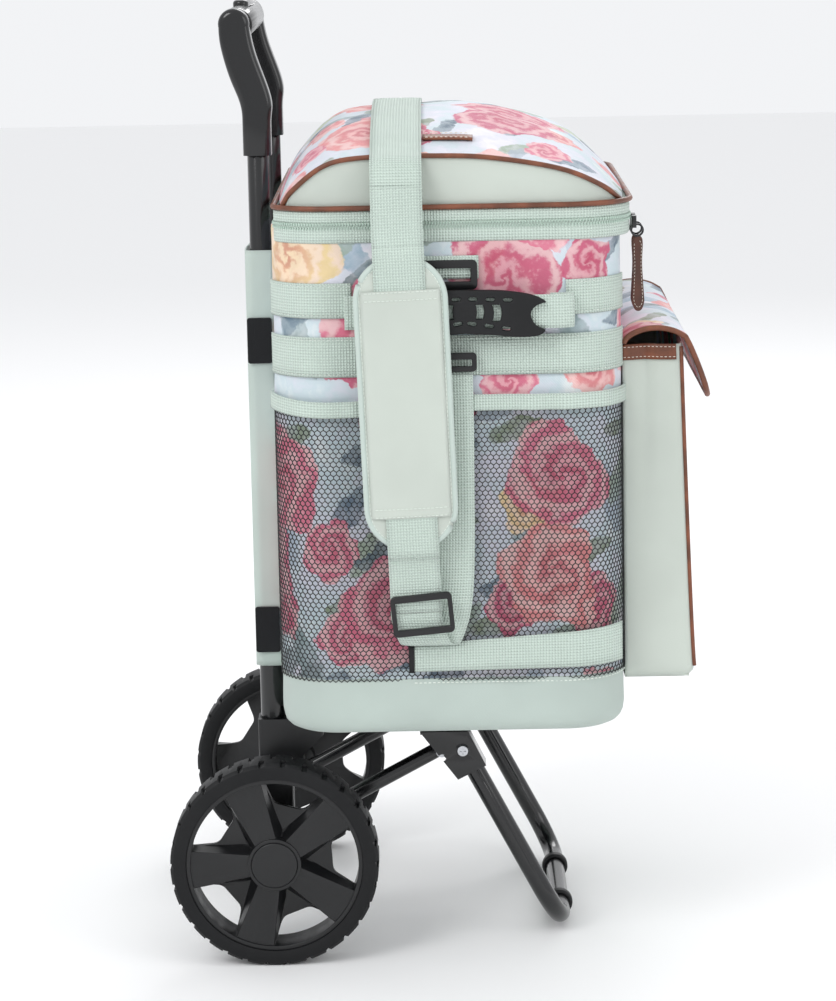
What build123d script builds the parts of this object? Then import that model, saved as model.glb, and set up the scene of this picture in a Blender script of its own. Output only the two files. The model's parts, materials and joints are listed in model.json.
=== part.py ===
from build123d import *
import os
from math import cos, radians, sin

# A shopping trolley: a folding-leg wheeled frame with a telescopic handle that carries a soft cooler bag.
# The frame's front is +X, its right side is -Y, the floor is Z = 0. Sizes are in millimetres.
# X is counted from the axle in every sketch below, because the three base planes stand at the axle.

# Driving dimensions: wheels and axle
axle_x = -128.0          # the axle's place, so that the origin is the middle of the footprint
wheel_radius = 80.0
tyre_width = 32.0
tyre_depth = 12.0        # tread to rim seat
track_outer = 340.0      # over both tyres
axle_radius = 5.0
running_gap = 0.05       # radial clearance of a running fit
spoke_count = 5

# Driving dimensions: frame
tube_y = 102.0           # uprights' distance from the middle plane
tube_x = -1.0
outer_tube_radius = 9.5
inner_tube_radius = 8.0
outer_tube_top = 468.0
inner_tube_bottom = 100.0
rail_y = 96.0
rail_z = 175.5
rail_radius = 5.5
rail_front = 187.0
deck_top = 184.5
strut_y = 84.0
strut_radius = 6.0
strut_top = (130.0, 149.0)
leg_pivot = (146.0, 155.0)
leg_foot = (221.9, 10.5)
leg_y = 108.0
leg_radius = 7.5
foot_ring_radius = 10.5

# Driving dimensions: handle
collar_bottom = 618.0
grip_x = -15.5
grip_z = 715.0
grip_radius = 12.5
arm_width = 22.0

# Driving dimensions: bag
bag_back = 9.0
bag_front = 270.0
bag_width = 370.0
bag_bottom = 185.8
bag_top = 570.5
bag_corner = 45.0
wall = 8.0
base_top = 228.0
zip_bottom = 559.5
zip_top = 582.5
lid_seam_x = 30.0
lid_crown = 645.0
mesh_y = 190.0
mesh_top = 434.0
binding_top = 444.0
band_centre = 514.0
lower_band_centre = 474.0
grip_pad_centre = 507.0
pocket_top = 474.0
pocket_half_width = 147.0
flap_edge = (336.0, 433.5)
strap_width = 38.0
strap_x = 104.0
strap_tilt = 1.8
pad_length = 219.0
pad_width = 70.5

wheel_face_y = track_outer / 2
bag_middle_x = (bag_back + bag_front) / 2

# Base planes. On side, local x is X and local y is Z, and offset() steps to the right, towards -Y.
# On floor, local axes are X and Y, and offset() rises. On across, they are Y and Z, facing +X.
side = Plane(origin=(axle_x, 0, 0), x_dir=(1, 0, 0), z_dir=(0, -1, 0))
floor = Plane(origin=(axle_x, 0, 0), x_dir=(1, 0, 0), z_dir=(0, 0, 1))
across = Plane(origin=(axle_x, 0, 0), x_dir=(0, 1, 0), z_dir=(1, 0, 0))
middle = Plane.XZ

os.makedirs("parts", exist_ok=True)


def save(piece, name):
    """Labels a finished piece and writes its STEP file."""
    piece.label = name
    export_step(piece, f"parts/{name}.step")


def save_pair(piece, name):
    """Writes a right-hand piece and its mirror image on the left."""
    save(piece, f"{name}_right")
    save(mirror(piece, about=middle), f"{name}_left")


# ---------------------------------------------------------------- wheels


def tyre():
    """A moulded tyre with two staggered rows of tread grooves."""
    groove_count, groove_depth = 30, 2.2
    seat = wheel_radius - tyre_depth
    with BuildPart() as piece:
        with BuildSketch(side.offset(wheel_face_y - tyre_width)):
            with Locations((0, wheel_radius)):
                Circle(wheel_radius)
                Circle(seat, mode=Mode.SUBTRACT)
        extrude(amount=tyre_width)
        chamfer(piece.edges().filter_by(GeomType.CIRCLE).sort_by(SortBy.RADIUS)[-2:], 2.5)
        for face_y, depth, turn in ((wheel_face_y, -13.5, 0), (wheel_face_y - tyre_width, 13.5, 6)):
            with BuildSketch(side.offset(face_y)):
                with Locations((0, wheel_radius)):
                    with PolarLocations(wheel_radius, groove_count, start_angle=turn):
                        Rectangle(2 * groove_depth, 4.2, rotation=18)
            extrude(amount=depth, mode=Mode.SUBTRACT)
    return piece.part


def rim():
    """A moulded wheel body: seat ring, recessed web with windows, raised tapering spokes and a hub."""
    seat = wheel_radius - tyre_depth
    ring_inside, web_face, web_back, spoke_face = 64.5, 155.0, 151.0, 166.5
    hub_radius, hub_inner_face, cap_seat = 20.5, 136.0, 163.5
    step = 360 / spoke_count
    first_spoke = 39.0
    with BuildSketch() as window:
        with BuildLine():
            Polyline((60.5, -26.5), (60.5, 26.5), (44, 11), (44, -11), close=True)
        make_face()
        fillet(window.vertices().group_by(Axis.X)[0], 8)
        with Locations((60, 0)):
            Rectangle(12, 53)
    with BuildPart() as piece:
        with BuildSketch(side.offset(139)):
            with Locations((0, wheel_radius)):
                Circle(seat)
                Circle(ring_inside, mode=Mode.SUBTRACT)
        extrude(amount=30)
        with BuildSketch(side.offset(web_back)):
            with Locations((0, wheel_radius)):
                Circle(ring_inside + 1)
            for i in range(spoke_count):
                with Locations(Location((0, wheel_radius), first_spoke + (i + 0.5) * step)):
                    add(window.sketch, mode=Mode.SUBTRACT)
        extrude(amount=web_face - web_back)
        with BuildSketch(side.offset(hub_inner_face)):
            with Locations((0, wheel_radius)):
                Circle(hub_radius)
        extrude(amount=wheel_face_y - 1 - hub_inner_face)
        for i in range(spoke_count):
            angle = first_spoke + i * step
            for depth, widths in ((web_back, (17, 16)), (spoke_face, (8, 15))):
                with BuildSketch(side.offset(depth)):
                    with Locations(Location((0, wheel_radius), angle)):
                        root, tip = widths
                        Polygon((16, -root), (65.5, -tip), (65.5, tip), (16, root), align=None)
            loft()
        with BuildSketch(side.offset(cap_seat)):
            with Locations((0, wheel_radius)):
                Circle(17.8)
        extrude(amount=20, mode=Mode.SUBTRACT)
        with BuildSketch(side.offset(hub_inner_face)):
            with Locations((0, wheel_radius)):
                Circle(axle_radius + running_gap)
        extrude(amount=60, mode=Mode.SUBTRACT)
    return piece.part


def hub_cap():
    """A snap-in cap with a shallow domed face and a skirt."""
    with BuildPart() as piece:
        with BuildSketch(side.offset(wheel_face_y - 2.2)):
            with Locations((0, wheel_radius)):
                Circle(17.7)
        extrude(amount=2.2)
        fillet(piece.edges().group_by(Axis.Y)[0], 1.2)
        with BuildSketch(side.offset(163.6)):
            with Locations((0, wheel_radius)):
                Circle(17.7)
                Circle(15.8, mode=Mode.SUBTRACT)
        extrude(amount=wheel_face_y - 2.2 - 163.6)
    return piece.part


def axle_shaft():
    """The steel axle that both wheels turn on."""
    length = 2 * 166.6
    with BuildPart() as piece:
        with BuildSketch(side.offset(-length / 2)):
            with Locations((0, wheel_radius)):
                Circle(axle_radius)
        extrude(amount=length)
        chamfer(piece.edges(), 0.8)
    return piece.part


def push_nuts():
    """A spring push nut on each end of the axle, inside the hub cap."""
    with BuildPart() as piece:
        with BuildSketch(side.offset(164.4)):
            with Locations((0, wheel_radius)):
                Circle(9)
                Circle(axle_radius, mode=Mode.SUBTRACT)
        extrude(amount=1.4)
        mirror(about=middle)
    return piece.part


# ---------------------------------------------------------------- frame


def corner_bracket():
    """A moulded corner that joins upright, axle and platform rail, with a boss out to the wheel."""
    inner_face, outer_face, top = 90.5, 113.5, 181.0
    with BuildPart() as piece:
        with BuildSketch(side.offset(inner_face)):
            with BuildLine():
                Polyline((-12.5, 80), (-12.5, top), (38, top), (38, 168), (19, 149), (13.5, 136),
                         (13.5, 80), close=True)
            make_face()
            with Locations((0.5, wheel_radius)):
                Circle(13)
        extrude(amount=outer_face - inner_face)
        fillet(piece.edges().filter_by(Axis.Z), 2)
        with BuildSketch(side.offset(outer_face)):
            with Locations((0, wheel_radius)):
                Circle(9)
        extrude(amount=135.6 - outer_face, taper=2)
        with BuildSketch(side.offset(inner_face - 1)):
            with Locations((0, wheel_radius)):
                Circle(axle_radius)
        extrude(amount=60, mode=Mode.SUBTRACT)
        with BuildSketch(floor.offset(95)):
            with Locations((tube_x, -tube_y)):
                Circle(outer_tube_radius)
        extrude(amount=120, mode=Mode.SUBTRACT)
        with BuildSketch(across.offset(14)):
            with Locations((-rail_y, rail_z)):
                Circle(rail_radius)
        extrude(amount=60, mode=Mode.SUBTRACT)
    return piece.part


def upright(radius, bore, bottom, top):
    """One straight tube of the telescopic handle."""
    with BuildPart() as piece:
        with BuildSketch(floor.offset(bottom)):
            with Locations((tube_x, -tube_y)):
                Circle(radius)
                Circle(bore, mode=Mode.SUBTRACT)
        extrude(amount=top - bottom)
    return piece.part


def tube_bushes():
    """A guide bush on top of each outer tube."""
    with BuildPart() as piece:
        with BuildSketch(floor.offset(outer_tube_top)):
            with Locations((tube_x, -tube_y), (tube_x, tube_y)):
                Circle(outer_tube_radius + 0.1)
                Circle(inner_tube_radius + 0.06, mode=Mode.SUBTRACT)
        extrude(amount=5)
    return piece.part


def platform_rails():
    """A bent tube that carries the bag: two side rails and a front bar."""
    with BuildPart() as piece:
        with BuildLine(floor.offset(rail_z)) as path:
            FilletPolyline((14.5, -rail_y), (rail_front - rail_radius, -rail_y),
                           (rail_front - rail_radius, rail_y), (14.5, rail_y), radius=24)
        with BuildSketch(across.offset(14.5)):
            with Locations((-rail_y, rail_z)):
                Circle(rail_radius)
                Circle(rail_radius - 1.2, mode=Mode.SUBTRACT)
        sweep(path=path.wires()[0])
    return piece.part


def platform_deck():
    """A ribbed plastic board that lies on the rails under the bag."""
    thickness = 3.3
    with BuildPart() as piece:
        with BuildSketch(floor.offset(deck_top - thickness)):
            with Locations(((40 + rail_front) / 2, 0)):
                RectangleRounded(rail_front - 40, 2 * rail_y + 8, 14)
                with GridLocations(34, 44, 3, 3):
                    SlotOverall(30, 12, rotation=90, mode=Mode.SUBTRACT)
        extrude(amount=thickness)
    return piece.part


def hinge_plate():
    """A pressed channel under the rail: two cheeks, a top web and a front web that stops the leg."""
    outer_cheek, inner_cheek, sheet = 118.5, 99.5, 2.0
    cheek_top = 170.0
    with BuildPart() as piece:
        for cheek in (outer_cheek, inner_cheek):
            with BuildSketch(side.offset(cheek - sheet)):
                with BuildLine():
                    Polyline((113, cheek_top), (150.5, cheek_top), (164, 142.5), (142, 131.5), close=True)
                make_face()
                with Locations(leg_pivot):
                    Circle(3, mode=Mode.SUBTRACT)
                with Locations(strut_top):
                    Circle(3, mode=Mode.SUBTRACT)
            extrude(amount=sheet)
        with BuildSketch(floor.offset(cheek_top - sheet)):
            with Locations((131.7, -105)):
                Rectangle(37, 27)
        extrude(amount=sheet)
        with BuildSketch(side.offset(inner_cheek - sheet)):
            with BuildLine():
                Polyline((150.5, cheek_top), (164, 142.5), (162.2, 141.6), (148.7, 169.7), close=True)
            make_face()
        extrude(amount=outer_cheek - inner_cheek + sheet)
    return piece.part


def strut():
    """A brace tube from the axle up to the hinge plate, with an eye round the axle."""
    run = Vector(strut_top[0], 0, strut_top[1] - wheel_radius)
    start = Plane(origin=(axle_x, -strut_y, wheel_radius), x_dir=(0, 1, 0), z_dir=run.normalized())
    with BuildPart() as piece:
        with BuildSketch(start):
            Circle(strut_radius)
        extrude(amount=run.length)
        with Locations((axle_x + strut_top[0], -strut_y, strut_top[1])):
            Sphere(strut_radius)
        with BuildSketch(side.offset(strut_y - 5)):
            with Locations((0, wheel_radius)):
                Circle(11)
        extrude(amount=10)
        with BuildSketch(side.offset(strut_y - 10)):
            with Locations((0, wheel_radius)):
                Circle(axle_radius)
            with Locations(strut_top):
                Circle(3)
        extrude(amount=20, mode=Mode.SUBTRACT)
    return piece.part


def hinge_bolts():
    """The leg's pivot bolts and the struts' bolts with their spacers, four in all."""
    with BuildPart() as piece:
        with BuildSketch(side.offset(94.5)):
            with Locations(leg_pivot):
                Circle(3)
        extrude(amount=25)
        with BuildSketch(side.offset(94.5)):
            with Locations(leg_pivot):
                RegularPolygon(5, 6)
        extrude(amount=3)
        with BuildSketch(side.offset(118.5)):
            with Locations(leg_pivot):
                Circle(5)
        extrude(amount=2.6, taper=20)
        with BuildSketch(side.offset(120.1)):
            with Locations(leg_pivot):
                Rectangle(5, 1)
                Rectangle(1, 5)
        extrude(amount=2, mode=Mode.SUBTRACT)
        with BuildSketch(side.offset(strut_y - 6.5)):
            with Locations(strut_top):
                Circle(3)
        extrude(amount=99.5 - strut_y + 6.5)
        with BuildSketch(side.offset(strut_y + strut_radius)):
            with Locations(strut_top):
                Circle(5)
        extrude(amount=97.5 - strut_y - strut_radius)
        mirror(about=middle)
    return piece.part


# ---------------------------------------------------------------- folding leg


def u_leg():
    """The bent stand leg: two arms that hinge in the plates and a bar across the foot."""
    drop = Vector(leg_foot[0] - leg_pivot[0], 0, leg_foot[1] - leg_pivot[1])
    down = drop.normalized()
    leg_top = (axle_x + leg_pivot[0], 0, leg_pivot[1])
    leg_plane = Plane(origin=leg_top, x_dir=(0, 1, 0), z_dir=(down.Z, 0, -down.X))
    start = Plane(origin=(axle_x + leg_pivot[0], -leg_y, leg_pivot[1]), x_dir=(0, 1, 0), z_dir=down)
    with BuildPart() as piece:
        with BuildLine(leg_plane) as path:
            FilletPolyline((-leg_y, 0), (-leg_y, drop.length), (leg_y, drop.length), (leg_y, 0), radius=34)
        with BuildSketch(start):
            Circle(leg_radius)
            Circle(leg_radius - 1.2, mode=Mode.SUBTRACT)
        sweep(path=path.wires()[0])
        pivot_x = axle_x + leg_pivot[0]
        with Locations((pivot_x, -leg_y, leg_pivot[1]), (pivot_x, leg_y, leg_pivot[1])):
            Sphere(leg_radius)
        with BuildSketch(side.offset(-leg_y - 10)):
            with Locations(leg_pivot):
                Circle(3 + running_gap)
        extrude(amount=2 * leg_y + 20, mode=Mode.SUBTRACT)
    return piece.part


def foot_rings():
    """Two rubber rings on the foot bar that meet the floor."""
    with BuildPart() as piece:
        with BuildSketch(side.offset(45.5)):
            with Locations(leg_foot):
                Circle(foot_ring_radius)
        extrude(amount=9)
        fillet(piece.edges(), 2)
        with BuildSketch(side.offset(45)):
            with Locations(leg_foot):
                Circle(leg_radius)
        extrude(amount=12, mode=Mode.SUBTRACT)
        mirror(about=middle)
    return piece.part


# ---------------------------------------------------------------- handle


def handle_arm():
    """A moulded elbow that leans back from the tube's collar up to the grip."""
    with BuildPart() as piece:
        with BuildSketch(side.offset(tube_y - arm_width / 2)):
            with BuildLine():
                Line((9.6, collar_bottom), (-11.6, collar_bottom))
                Line((-11.6, collar_bottom), (-11.6, 646))
                Spline((-11.6, 646), (-18.6, 672), (-25.2, 694), (-27.6, 714), tangents=((0, 1), (0, 1)))
                ThreePointArc((-27.6, 714), (-16.5, 728), (-4.6, 715))
                Spline((-4.6, 715), (-0.6, 694), (6.6, 673), (10.8, 655), (9.6, 640),
                       tangents=((0.1, -1), (0, -1)))
                Line((9.6, 640), (9.6, collar_bottom))
            make_face()
        extrude(amount=arm_width)
        fillet(piece.faces().filter_by(Axis.Y).edges().filter_by(Axis.X, reverse=True), 5)
        with BuildSketch(floor.offset(collar_bottom - 1)):
            with Locations((tube_x, -tube_y)):
                Circle(inner_tube_radius)
        extrude(amount=23, mode=Mode.SUBTRACT)
    return piece.part


def handle_grip():
    """The hollow crossbar between the arms, with a slot on top for the release button."""
    half = tube_y - arm_width / 2
    with BuildPart() as piece:
        with BuildSketch(side.offset(-half)):
            with Locations((grip_x, grip_z)):
                Circle(grip_radius)
                Circle(grip_radius - 3, mode=Mode.SUBTRACT)
        extrude(amount=2 * half)
        with BuildSketch(floor.offset(grip_z + 5)):
            with Locations((grip_x, 0)):
                SlotOverall(44, 13, rotation=90)
        extrude(amount=20, mode=Mode.SUBTRACT)
    return piece.part


def release_button():
    """The thumb button in the grip."""
    with BuildPart() as piece:
        with BuildSketch(floor.offset(grip_z + 2)):
            with Locations((grip_x, 0)):
                SlotOverall(43, 12, rotation=90)
        extrude(amount=14)
        fillet(piece.edges().group_by(Axis.Z)[-1], 2.5)
    return piece.part


def release_bar():
    """The flat bar inside the grip that the button pushes."""
    with BuildPart() as piece:
        with BuildSketch(floor.offset(grip_z - 1)):
            with Locations((grip_x, 0)):
                Rectangle(6, 160)
        extrude(amount=3)
    return piece.part


def button_spring():
    """A coil spring, drawn as its sleeve, that returns the button."""
    with BuildPart() as piece:
        with BuildSketch(floor.offset(grip_z - 8.2)):
            with Locations((grip_x, 0)):
                Circle(3)
                Circle(2, mode=Mode.SUBTRACT)
        extrude(amount=7.1)
    return piece.part


def lock_plugs():
    """Plastic plugs in the inner tubes' lower ends, which hold the lock pins."""
    with BuildPart() as piece:
        with BuildSketch(floor.offset(inner_tube_bottom)):
            with Locations((tube_x, -tube_y), (tube_x, tube_y)):
                Circle(inner_tube_radius - 1.2)
        extrude(amount=26)
    return piece.part


# ---------------------------------------------------------------- bag body


def bag_outline(grow):
    """The bag's plan outline, grown outwards, in the sketch that is being made."""
    depth = bag_front - bag_back
    with Locations((bag_middle_x, 0)):
        RectangleRounded(depth + 2 * grow, bag_width + 2 * grow, bag_corner + grow)


def bag_shell():
    """The insulated body: walls and floor round one open compartment."""
    with BuildPart() as piece:
        with BuildSketch(floor.offset(bag_bottom)):
            bag_outline(0)
        extrude(amount=bag_top - bag_bottom)
        fillet(piece.edges().group_by(Axis.Z)[0], 12)
        with BuildSketch(floor.offset(bag_bottom + wall)):
            bag_outline(-wall)
        extrude(amount=400, mode=Mode.SUBTRACT)
    return piece.part


def liner():
    """The wipe-clean lining inside the compartment."""
    with BuildPart() as piece:
        with BuildSketch(floor.offset(bag_bottom + wall)):
            bag_outline(-wall)
        extrude(amount=bag_top - 4 - bag_bottom - wall)
        with BuildSketch(floor.offset(bag_bottom + wall + 1.2)):
            bag_outline(-wall - 1.2)
        extrude(amount=400, mode=Mode.SUBTRACT)
    return piece.part


def base_panel(shell):
    """The plain panel that wraps the foot of the bag."""
    skin = 1.0
    with BuildPart() as piece:
        with BuildSketch(floor.offset(bag_bottom - skin)):
            bag_outline(skin - 0.2)
        extrude(amount=base_top - bag_bottom + skin)
        fillet(piece.edges().group_by(Axis.Z)[0], 12.5)
        with BuildSketch(across.offset(bag_back)):
            with Locations((0, 205)):
                Rectangle(2 * bag_width, 100)
        extrude(amount=-10, mode=Mode.SUBTRACT)
        add(shell, mode=Mode.SUBTRACT)
        with BuildSketch(floor.offset(bag_bottom + wall)):
            bag_outline(-wall)
        extrude(amount=400, mode=Mode.SUBTRACT)
    return piece.part


def zip_ring(bottom, top, inside):
    """A tape that runs all round the rim and stands a little proud at the front."""
    with BuildPart() as piece:
        with BuildSketch(floor.offset(bottom)):
            with Locations(((bag_back + 1.3 + 277) / 2, 0)):
                RectangleRounded(277 - bag_back - 1.3, bag_width + 5, bag_corner)
        extrude(amount=top - bottom)
        with BuildSketch(floor.offset(bottom)):
            bag_outline(inside)
        extrude(amount=top - bottom, mode=Mode.SUBTRACT)
    return piece.part


def zip_lower(upper_tape):
    """The lower tape, with the short run of upper tape that stays on the bag behind the fold."""
    with BuildPart() as piece:
        add(zip_ring(zip_bottom, bag_top, 0.3))
        add(lid_part(upper_tape, False))
    return piece.part


def lid_section(distance, points):
    """One cross-section of the lid, at a distance from the middle plane, under a smooth crown line."""
    base = zip_top + 0.3
    first, last = points[0], points[-1]
    with BuildSketch(side.offset(distance)) as section:
        with BuildLine():
            Spline(*points)
            Polyline(last, (last[0], base), (first[0], base), first)
        make_face()
    return section.sketch


def lid_solid():
    """The domed lid, hollow underneath, before its back strip is parted from it."""
    edge = ((21, 583.5), (30, 596), (56, 615), (90, 620), (170, 618.5), (224, 609), (253, 595), (267, 583.5))
    crown = ((13, 583.5), (27, 612), (59, 638), (106, lid_crown), (169, lid_crown - 0.5), (231, 626),
             (262, 601), (275, 583.5))
    half = bag_width / 2 - 1
    sections = [lid_section(-half, edge), lid_section(0, crown), lid_section(half, edge)]
    with BuildPart() as piece:
        loft(sections)
        with BuildSketch(floor.offset(zip_top)):
            with Locations((bag_middle_x, 0)):
                RectangleRounded(212, 330, 30)
        extrude(amount=18, mode=Mode.SUBTRACT)
        with BuildSketch(floor.offset(zip_top)):
            with Locations((bag_middle_x - 8, 0)):
                RectangleRounded(150, 240, 30)
        extrude(amount=43, mode=Mode.SUBTRACT)
    return piece.part


def lid_part(whole, keep_front):
    """The lid's front part, which opens, or the strip behind the fold, which stays on the bag."""
    with BuildPart() as piece:
        add(whole)
        with BuildSketch(across.offset(lid_seam_x if keep_front else lid_seam_x - 0.3)):
            with Locations((0, 600)):
                Rectangle(500, 200)
        extrude(amount=-100 if keep_front else 400, mode=Mode.SUBTRACT)
    return piece.part


def rear_sleeve():
    """A flat fabric sleeve on the bag's back that slips over both uprights."""
    bottom, top, sheet = 225.0, 547.0, 1.4
    back, half = -12.8, 117.2
    with BuildPart() as piece:
        with BuildSketch(floor.offset(bottom)):
            with Locations(((back + bag_back) / 2, 0)):
                Rectangle(bag_back - back, 2 * half)
            with Locations(((back + bag_back) / 2 + sheet, 0)):
                Rectangle(bag_back - back, 2 * (half - sheet), mode=Mode.SUBTRACT)
        extrude(amount=top - bottom)
    return piece.part


def mesh_pocket():
    """A net pocket on the bag's side, open at the top and sewn in along its other three edges."""
    low, left, right, sheet = 228.3, 22.0, 262.0, 1.0
    face = bag_width / 2
    with BuildPart() as piece:
        with BuildSketch(side.offset(face)):
            with Locations(((left + right) / 2, (low + mesh_top) / 2)):
                Rectangle(right - left, mesh_top - low)
        extrude(amount=mesh_y - face + sheet)
        fillet(piece.edges().filter_by(Axis.Z).group_by(Axis.Y)[0], 4)
        with BuildSketch(side.offset(face)):
            with Locations(((left + right) / 2, (low + mesh_top) / 2 + 6)):
                Rectangle(right - left - 6, mesh_top - low + 5)
        extrude(amount=mesh_y - face, mode=Mode.SUBTRACT)
    return piece.part


def pocket_bindings():
    """The elastic bindings along the mouths of both net pockets."""
    with BuildPart() as piece:
        with BuildSketch(side.offset(mesh_y - 0.4)):
            with Locations(((22 + 262) / 2, (mesh_top + binding_top) / 2 + 0.2)):
                Rectangle(240, binding_top - mesh_top - 0.2)
        extrude(amount=2)
        mirror(about=middle)
    return piece.part


def webbing_bands():
    """Flat webbing sewn on both sides: an upper and a lower band and the low cross strap."""
    face, sheet = bag_width / 2, 1.2
    with BuildPart() as piece:
        with BuildSketch(side.offset(face)):
            with Locations((bag_middle_x, band_centre)):
                Rectangle(236, 25)
            with Locations((bag_middle_x, lower_band_centre)):
                Rectangle(236, 30)
        extrude(amount=sheet)
        with BuildSketch(side.offset(mesh_y + 1.0)):
            with BuildLine():
                Polyline((109, 235.5), (262, 238), (262, 267), (109, 256), close=True)
            make_face()
        extrude(amount=sheet)
        mirror(about=middle)
    return piece.part


# ---------------------------------------------------------------- front pocket


def front_pocket():
    """The bellows pocket on the front, open at the top under its flap."""
    face, sheet = bag_front + 0.8, 2.4
    with BuildPart() as piece:
        with BuildSketch(side.offset(-pocket_half_width)):
            with BuildLine():
                Polyline((face, 217), (317, 217), (325.5, 225), (323, 300), (316.5, pocket_top),
                         (face, pocket_top), close=True)
            make_face()
        extrude(amount=2 * pocket_half_width)
        with BuildSketch(side.offset(-pocket_half_width + sheet)):
            with BuildLine():
                Polyline((face + sheet, 221), (315, 221), (322.5, 229), (320.2, 300),
                         (313.7, pocket_top + 1), (face + sheet, pocket_top + 1), close=True)
            make_face()
        extrude(amount=2 * (pocket_half_width - sheet), mode=Mode.SUBTRACT)
    return piece.part


def sheet_profile(points, thickness, half_width):
    """A sheet bent along a line of points in the side plane and run across the trolley."""
    with BuildPart() as piece:
        with BuildSketch(side.offset(-half_width)):
            with BuildLine():
                Polyline(*points)
            trace(line_width=thickness)
        extrude(amount=2 * half_width)
    return piece.part


def flap_top():
    """The upper part of the pocket's flap, from the seam on the bag to the ridge."""
    points = ((272.8, 476.5), (278, 481.5), (287, 485.2), (297, 486.2), (307, 485.4), (316.6, 482.2))
    return sheet_profile(points, 2.6, pocket_half_width + 2)


def flap_front():
    """The front part of the flap, which hangs from the ridge."""
    return sheet_profile(((318.6, 479.6), (flap_edge[0] - 0.8, flap_edge[1])), 2.6, pocket_half_width + 2)


# ---------------------------------------------------------------- shoulder strap


def strap_plane(distance):
    """The plane of the hanging shoulder strap, tilted a little in its own face."""
    lean = radians(strap_tilt)
    pad_middle = (axle_x + 109.4, -distance, 441.5)
    return Plane(origin=pad_middle, x_dir=(cos(lean), 0, -sin(lean)), z_dir=(0, -1, 0))


def strap_right():
    """The strap's hanging run: down to the adjuster, round it, and back up to the hook."""
    face = 203.3
    with BuildPart() as piece:
        with BuildSketch(strap_plane(face)):
            with Locations((0, 0)):
                Rectangle(strap_width, 318)
        extrude(amount=1.3)
        with BuildSketch(side.offset(mesh_y + 2.4)):
            with Locations((138, 365)):
                Rectangle(strap_width, 194)
        extrude(amount=1.3)
    return piece.part


def strap_left():
    """The strap's far end, from the lid down to the hook."""
    with BuildPart() as piece:
        with BuildSketch(side.offset(-204.6)):
            with Locations((strap_x + 4, 571.5)):
                Rectangle(strap_width, 55)
        extrude(amount=1.3)
    return piece.part


def strap_top():
    """The strap where it lies across the lid."""
    path = ((-203.9, 601.5), (-203.2, 611), (-194, 622), (-150, 634), (-75, 645.5), (0, 649),
            (75, 645.5), (150, 634), (194, 622), (203.2, 611), (203.9, 601.5))
    with BuildPart() as piece:
        with BuildSketch(across.offset(strap_x - strap_width / 2)):
            with BuildLine():
                Polyline(*path)
            trace(line_width=1.3)
        extrude(amount=strap_width)
    return piece.part


def shoulder_pad():
    """The padded sleeve that rides on the strap."""
    with BuildPart() as piece:
        with BuildSketch(strap_plane(205.0)):
            RectangleRounded(pad_width, pad_length, 30)
        extrude(amount=6.4)
        fillet(piece.edges().group_by(Axis.Y)[0], 2.5)
    return piece.part


def strap_adjuster():
    """The two-slot adjuster at the strap's lower turn."""
    with BuildPart() as piece:
        with BuildSketch(Plane(origin=(axle_x + 117.5, -205.0, 283), x_dir=(1, 0, 0.09), z_dir=(0, -1, 0))):
            RectangleRounded(46, 31, 4)
            Rectangle(39, 20.5, mode=Mode.SUBTRACT)
        extrude(amount=4)
        fillet(piece.edges().group_by(Axis.Y)[0], 1.2)
    return piece.part


def strap_hooks():
    """On each side a webbing tab's ring and the strap's hook, moulded in plastic."""
    with BuildPart() as piece:
        with BuildSketch(side.offset(bag_width / 2 + 1.4)):
            with Locations((141, 534)):
                RectangleRounded(43, 22, 4)
                Rectangle(33, 10, mode=Mode.SUBTRACT)
        extrude(amount=3.6)
        with BuildSketch(side.offset(mesh_y + 2.4)):
            with Locations((138, 470)):
                RectangleRounded(46, 14, 3)
                with Locations((0, -0.5)):
                    Rectangle(38.6, 5, mode=Mode.SUBTRACT)
        extrude(amount=3.6)
        with BuildSketch(side.offset(-bag_width / 2 - 5)):
            with Locations((141, 534)):
                RectangleRounded(43, 22, 4)
                Rectangle(33, 10, mode=Mode.SUBTRACT)
        extrude(amount=3.6)
    return piece.part


# ---------------------------------------------------------------- carry handles, zip pulls, lid strap


def carry_loop():
    """A webbing loop sewn to the bag's side at both ends, standing off it for the fingers."""
    path = ((66, 186.9), (76, 187.6), (86, 196.4), (150, 197.4), (216, 196.4), (229, 191.6),
            (229.5, 188.2), (219, 187.2))
    top_view = Plane(origin=(axle_x, 0, grip_pad_centre - 12.5), x_dir=(1, 0, 0), z_dir=(0, 0, 1))
    with BuildPart() as piece:
        with BuildSketch(top_view):
            with BuildLine():
                Polyline(*[(x, -y) for x, y in path])
            trace(line_width=1.2)
        extrude(amount=25)
    return piece.part


def carry_grip(loop):
    """The moulded grip that wraps the loop."""
    with BuildPart() as piece:
        with BuildSketch(across.offset(96)):
            with Locations((-197.1, grip_pad_centre)):
                RectangleRounded(11, 35, 4.5)
        extrude(amount=112)
        fillet(piece.faces().filter_by(Axis.X).edges(), 3)
        add(loop, mode=Mode.SUBTRACT)
    return piece.part


def zip_sliders():
    """Two zip sliders with their rings, side by side at the front corner."""
    with BuildPart() as piece:
        for slider_y in (-128, -144):
            with BuildSketch(floor.offset(562)):
                with Locations((280.4, slider_y)):
                    RectangleRounded(3.6, 9, 1)
            extrude(amount=9)
            top = (axle_x + 282.8, slider_y + 1, 560)
            with BuildSketch(Plane(origin=top, x_dir=(1, 0, 0), z_dir=(0, -1, 0))):
                Circle(5)
                Circle(3.6, mode=Mode.SUBTRACT)
            extrude(amount=2)
    return piece.part


def pull_tab(tab_y):
    """A leather pull that hangs from its slider's ring."""
    with BuildPart() as piece:
        with BuildSketch(side.offset(-tab_y - 4.2)):
            with Locations((283.2, 526)):
                SlotOverall(49, 8.6, rotation=90)
        extrude(amount=2.4)
    return piece.part


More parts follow.
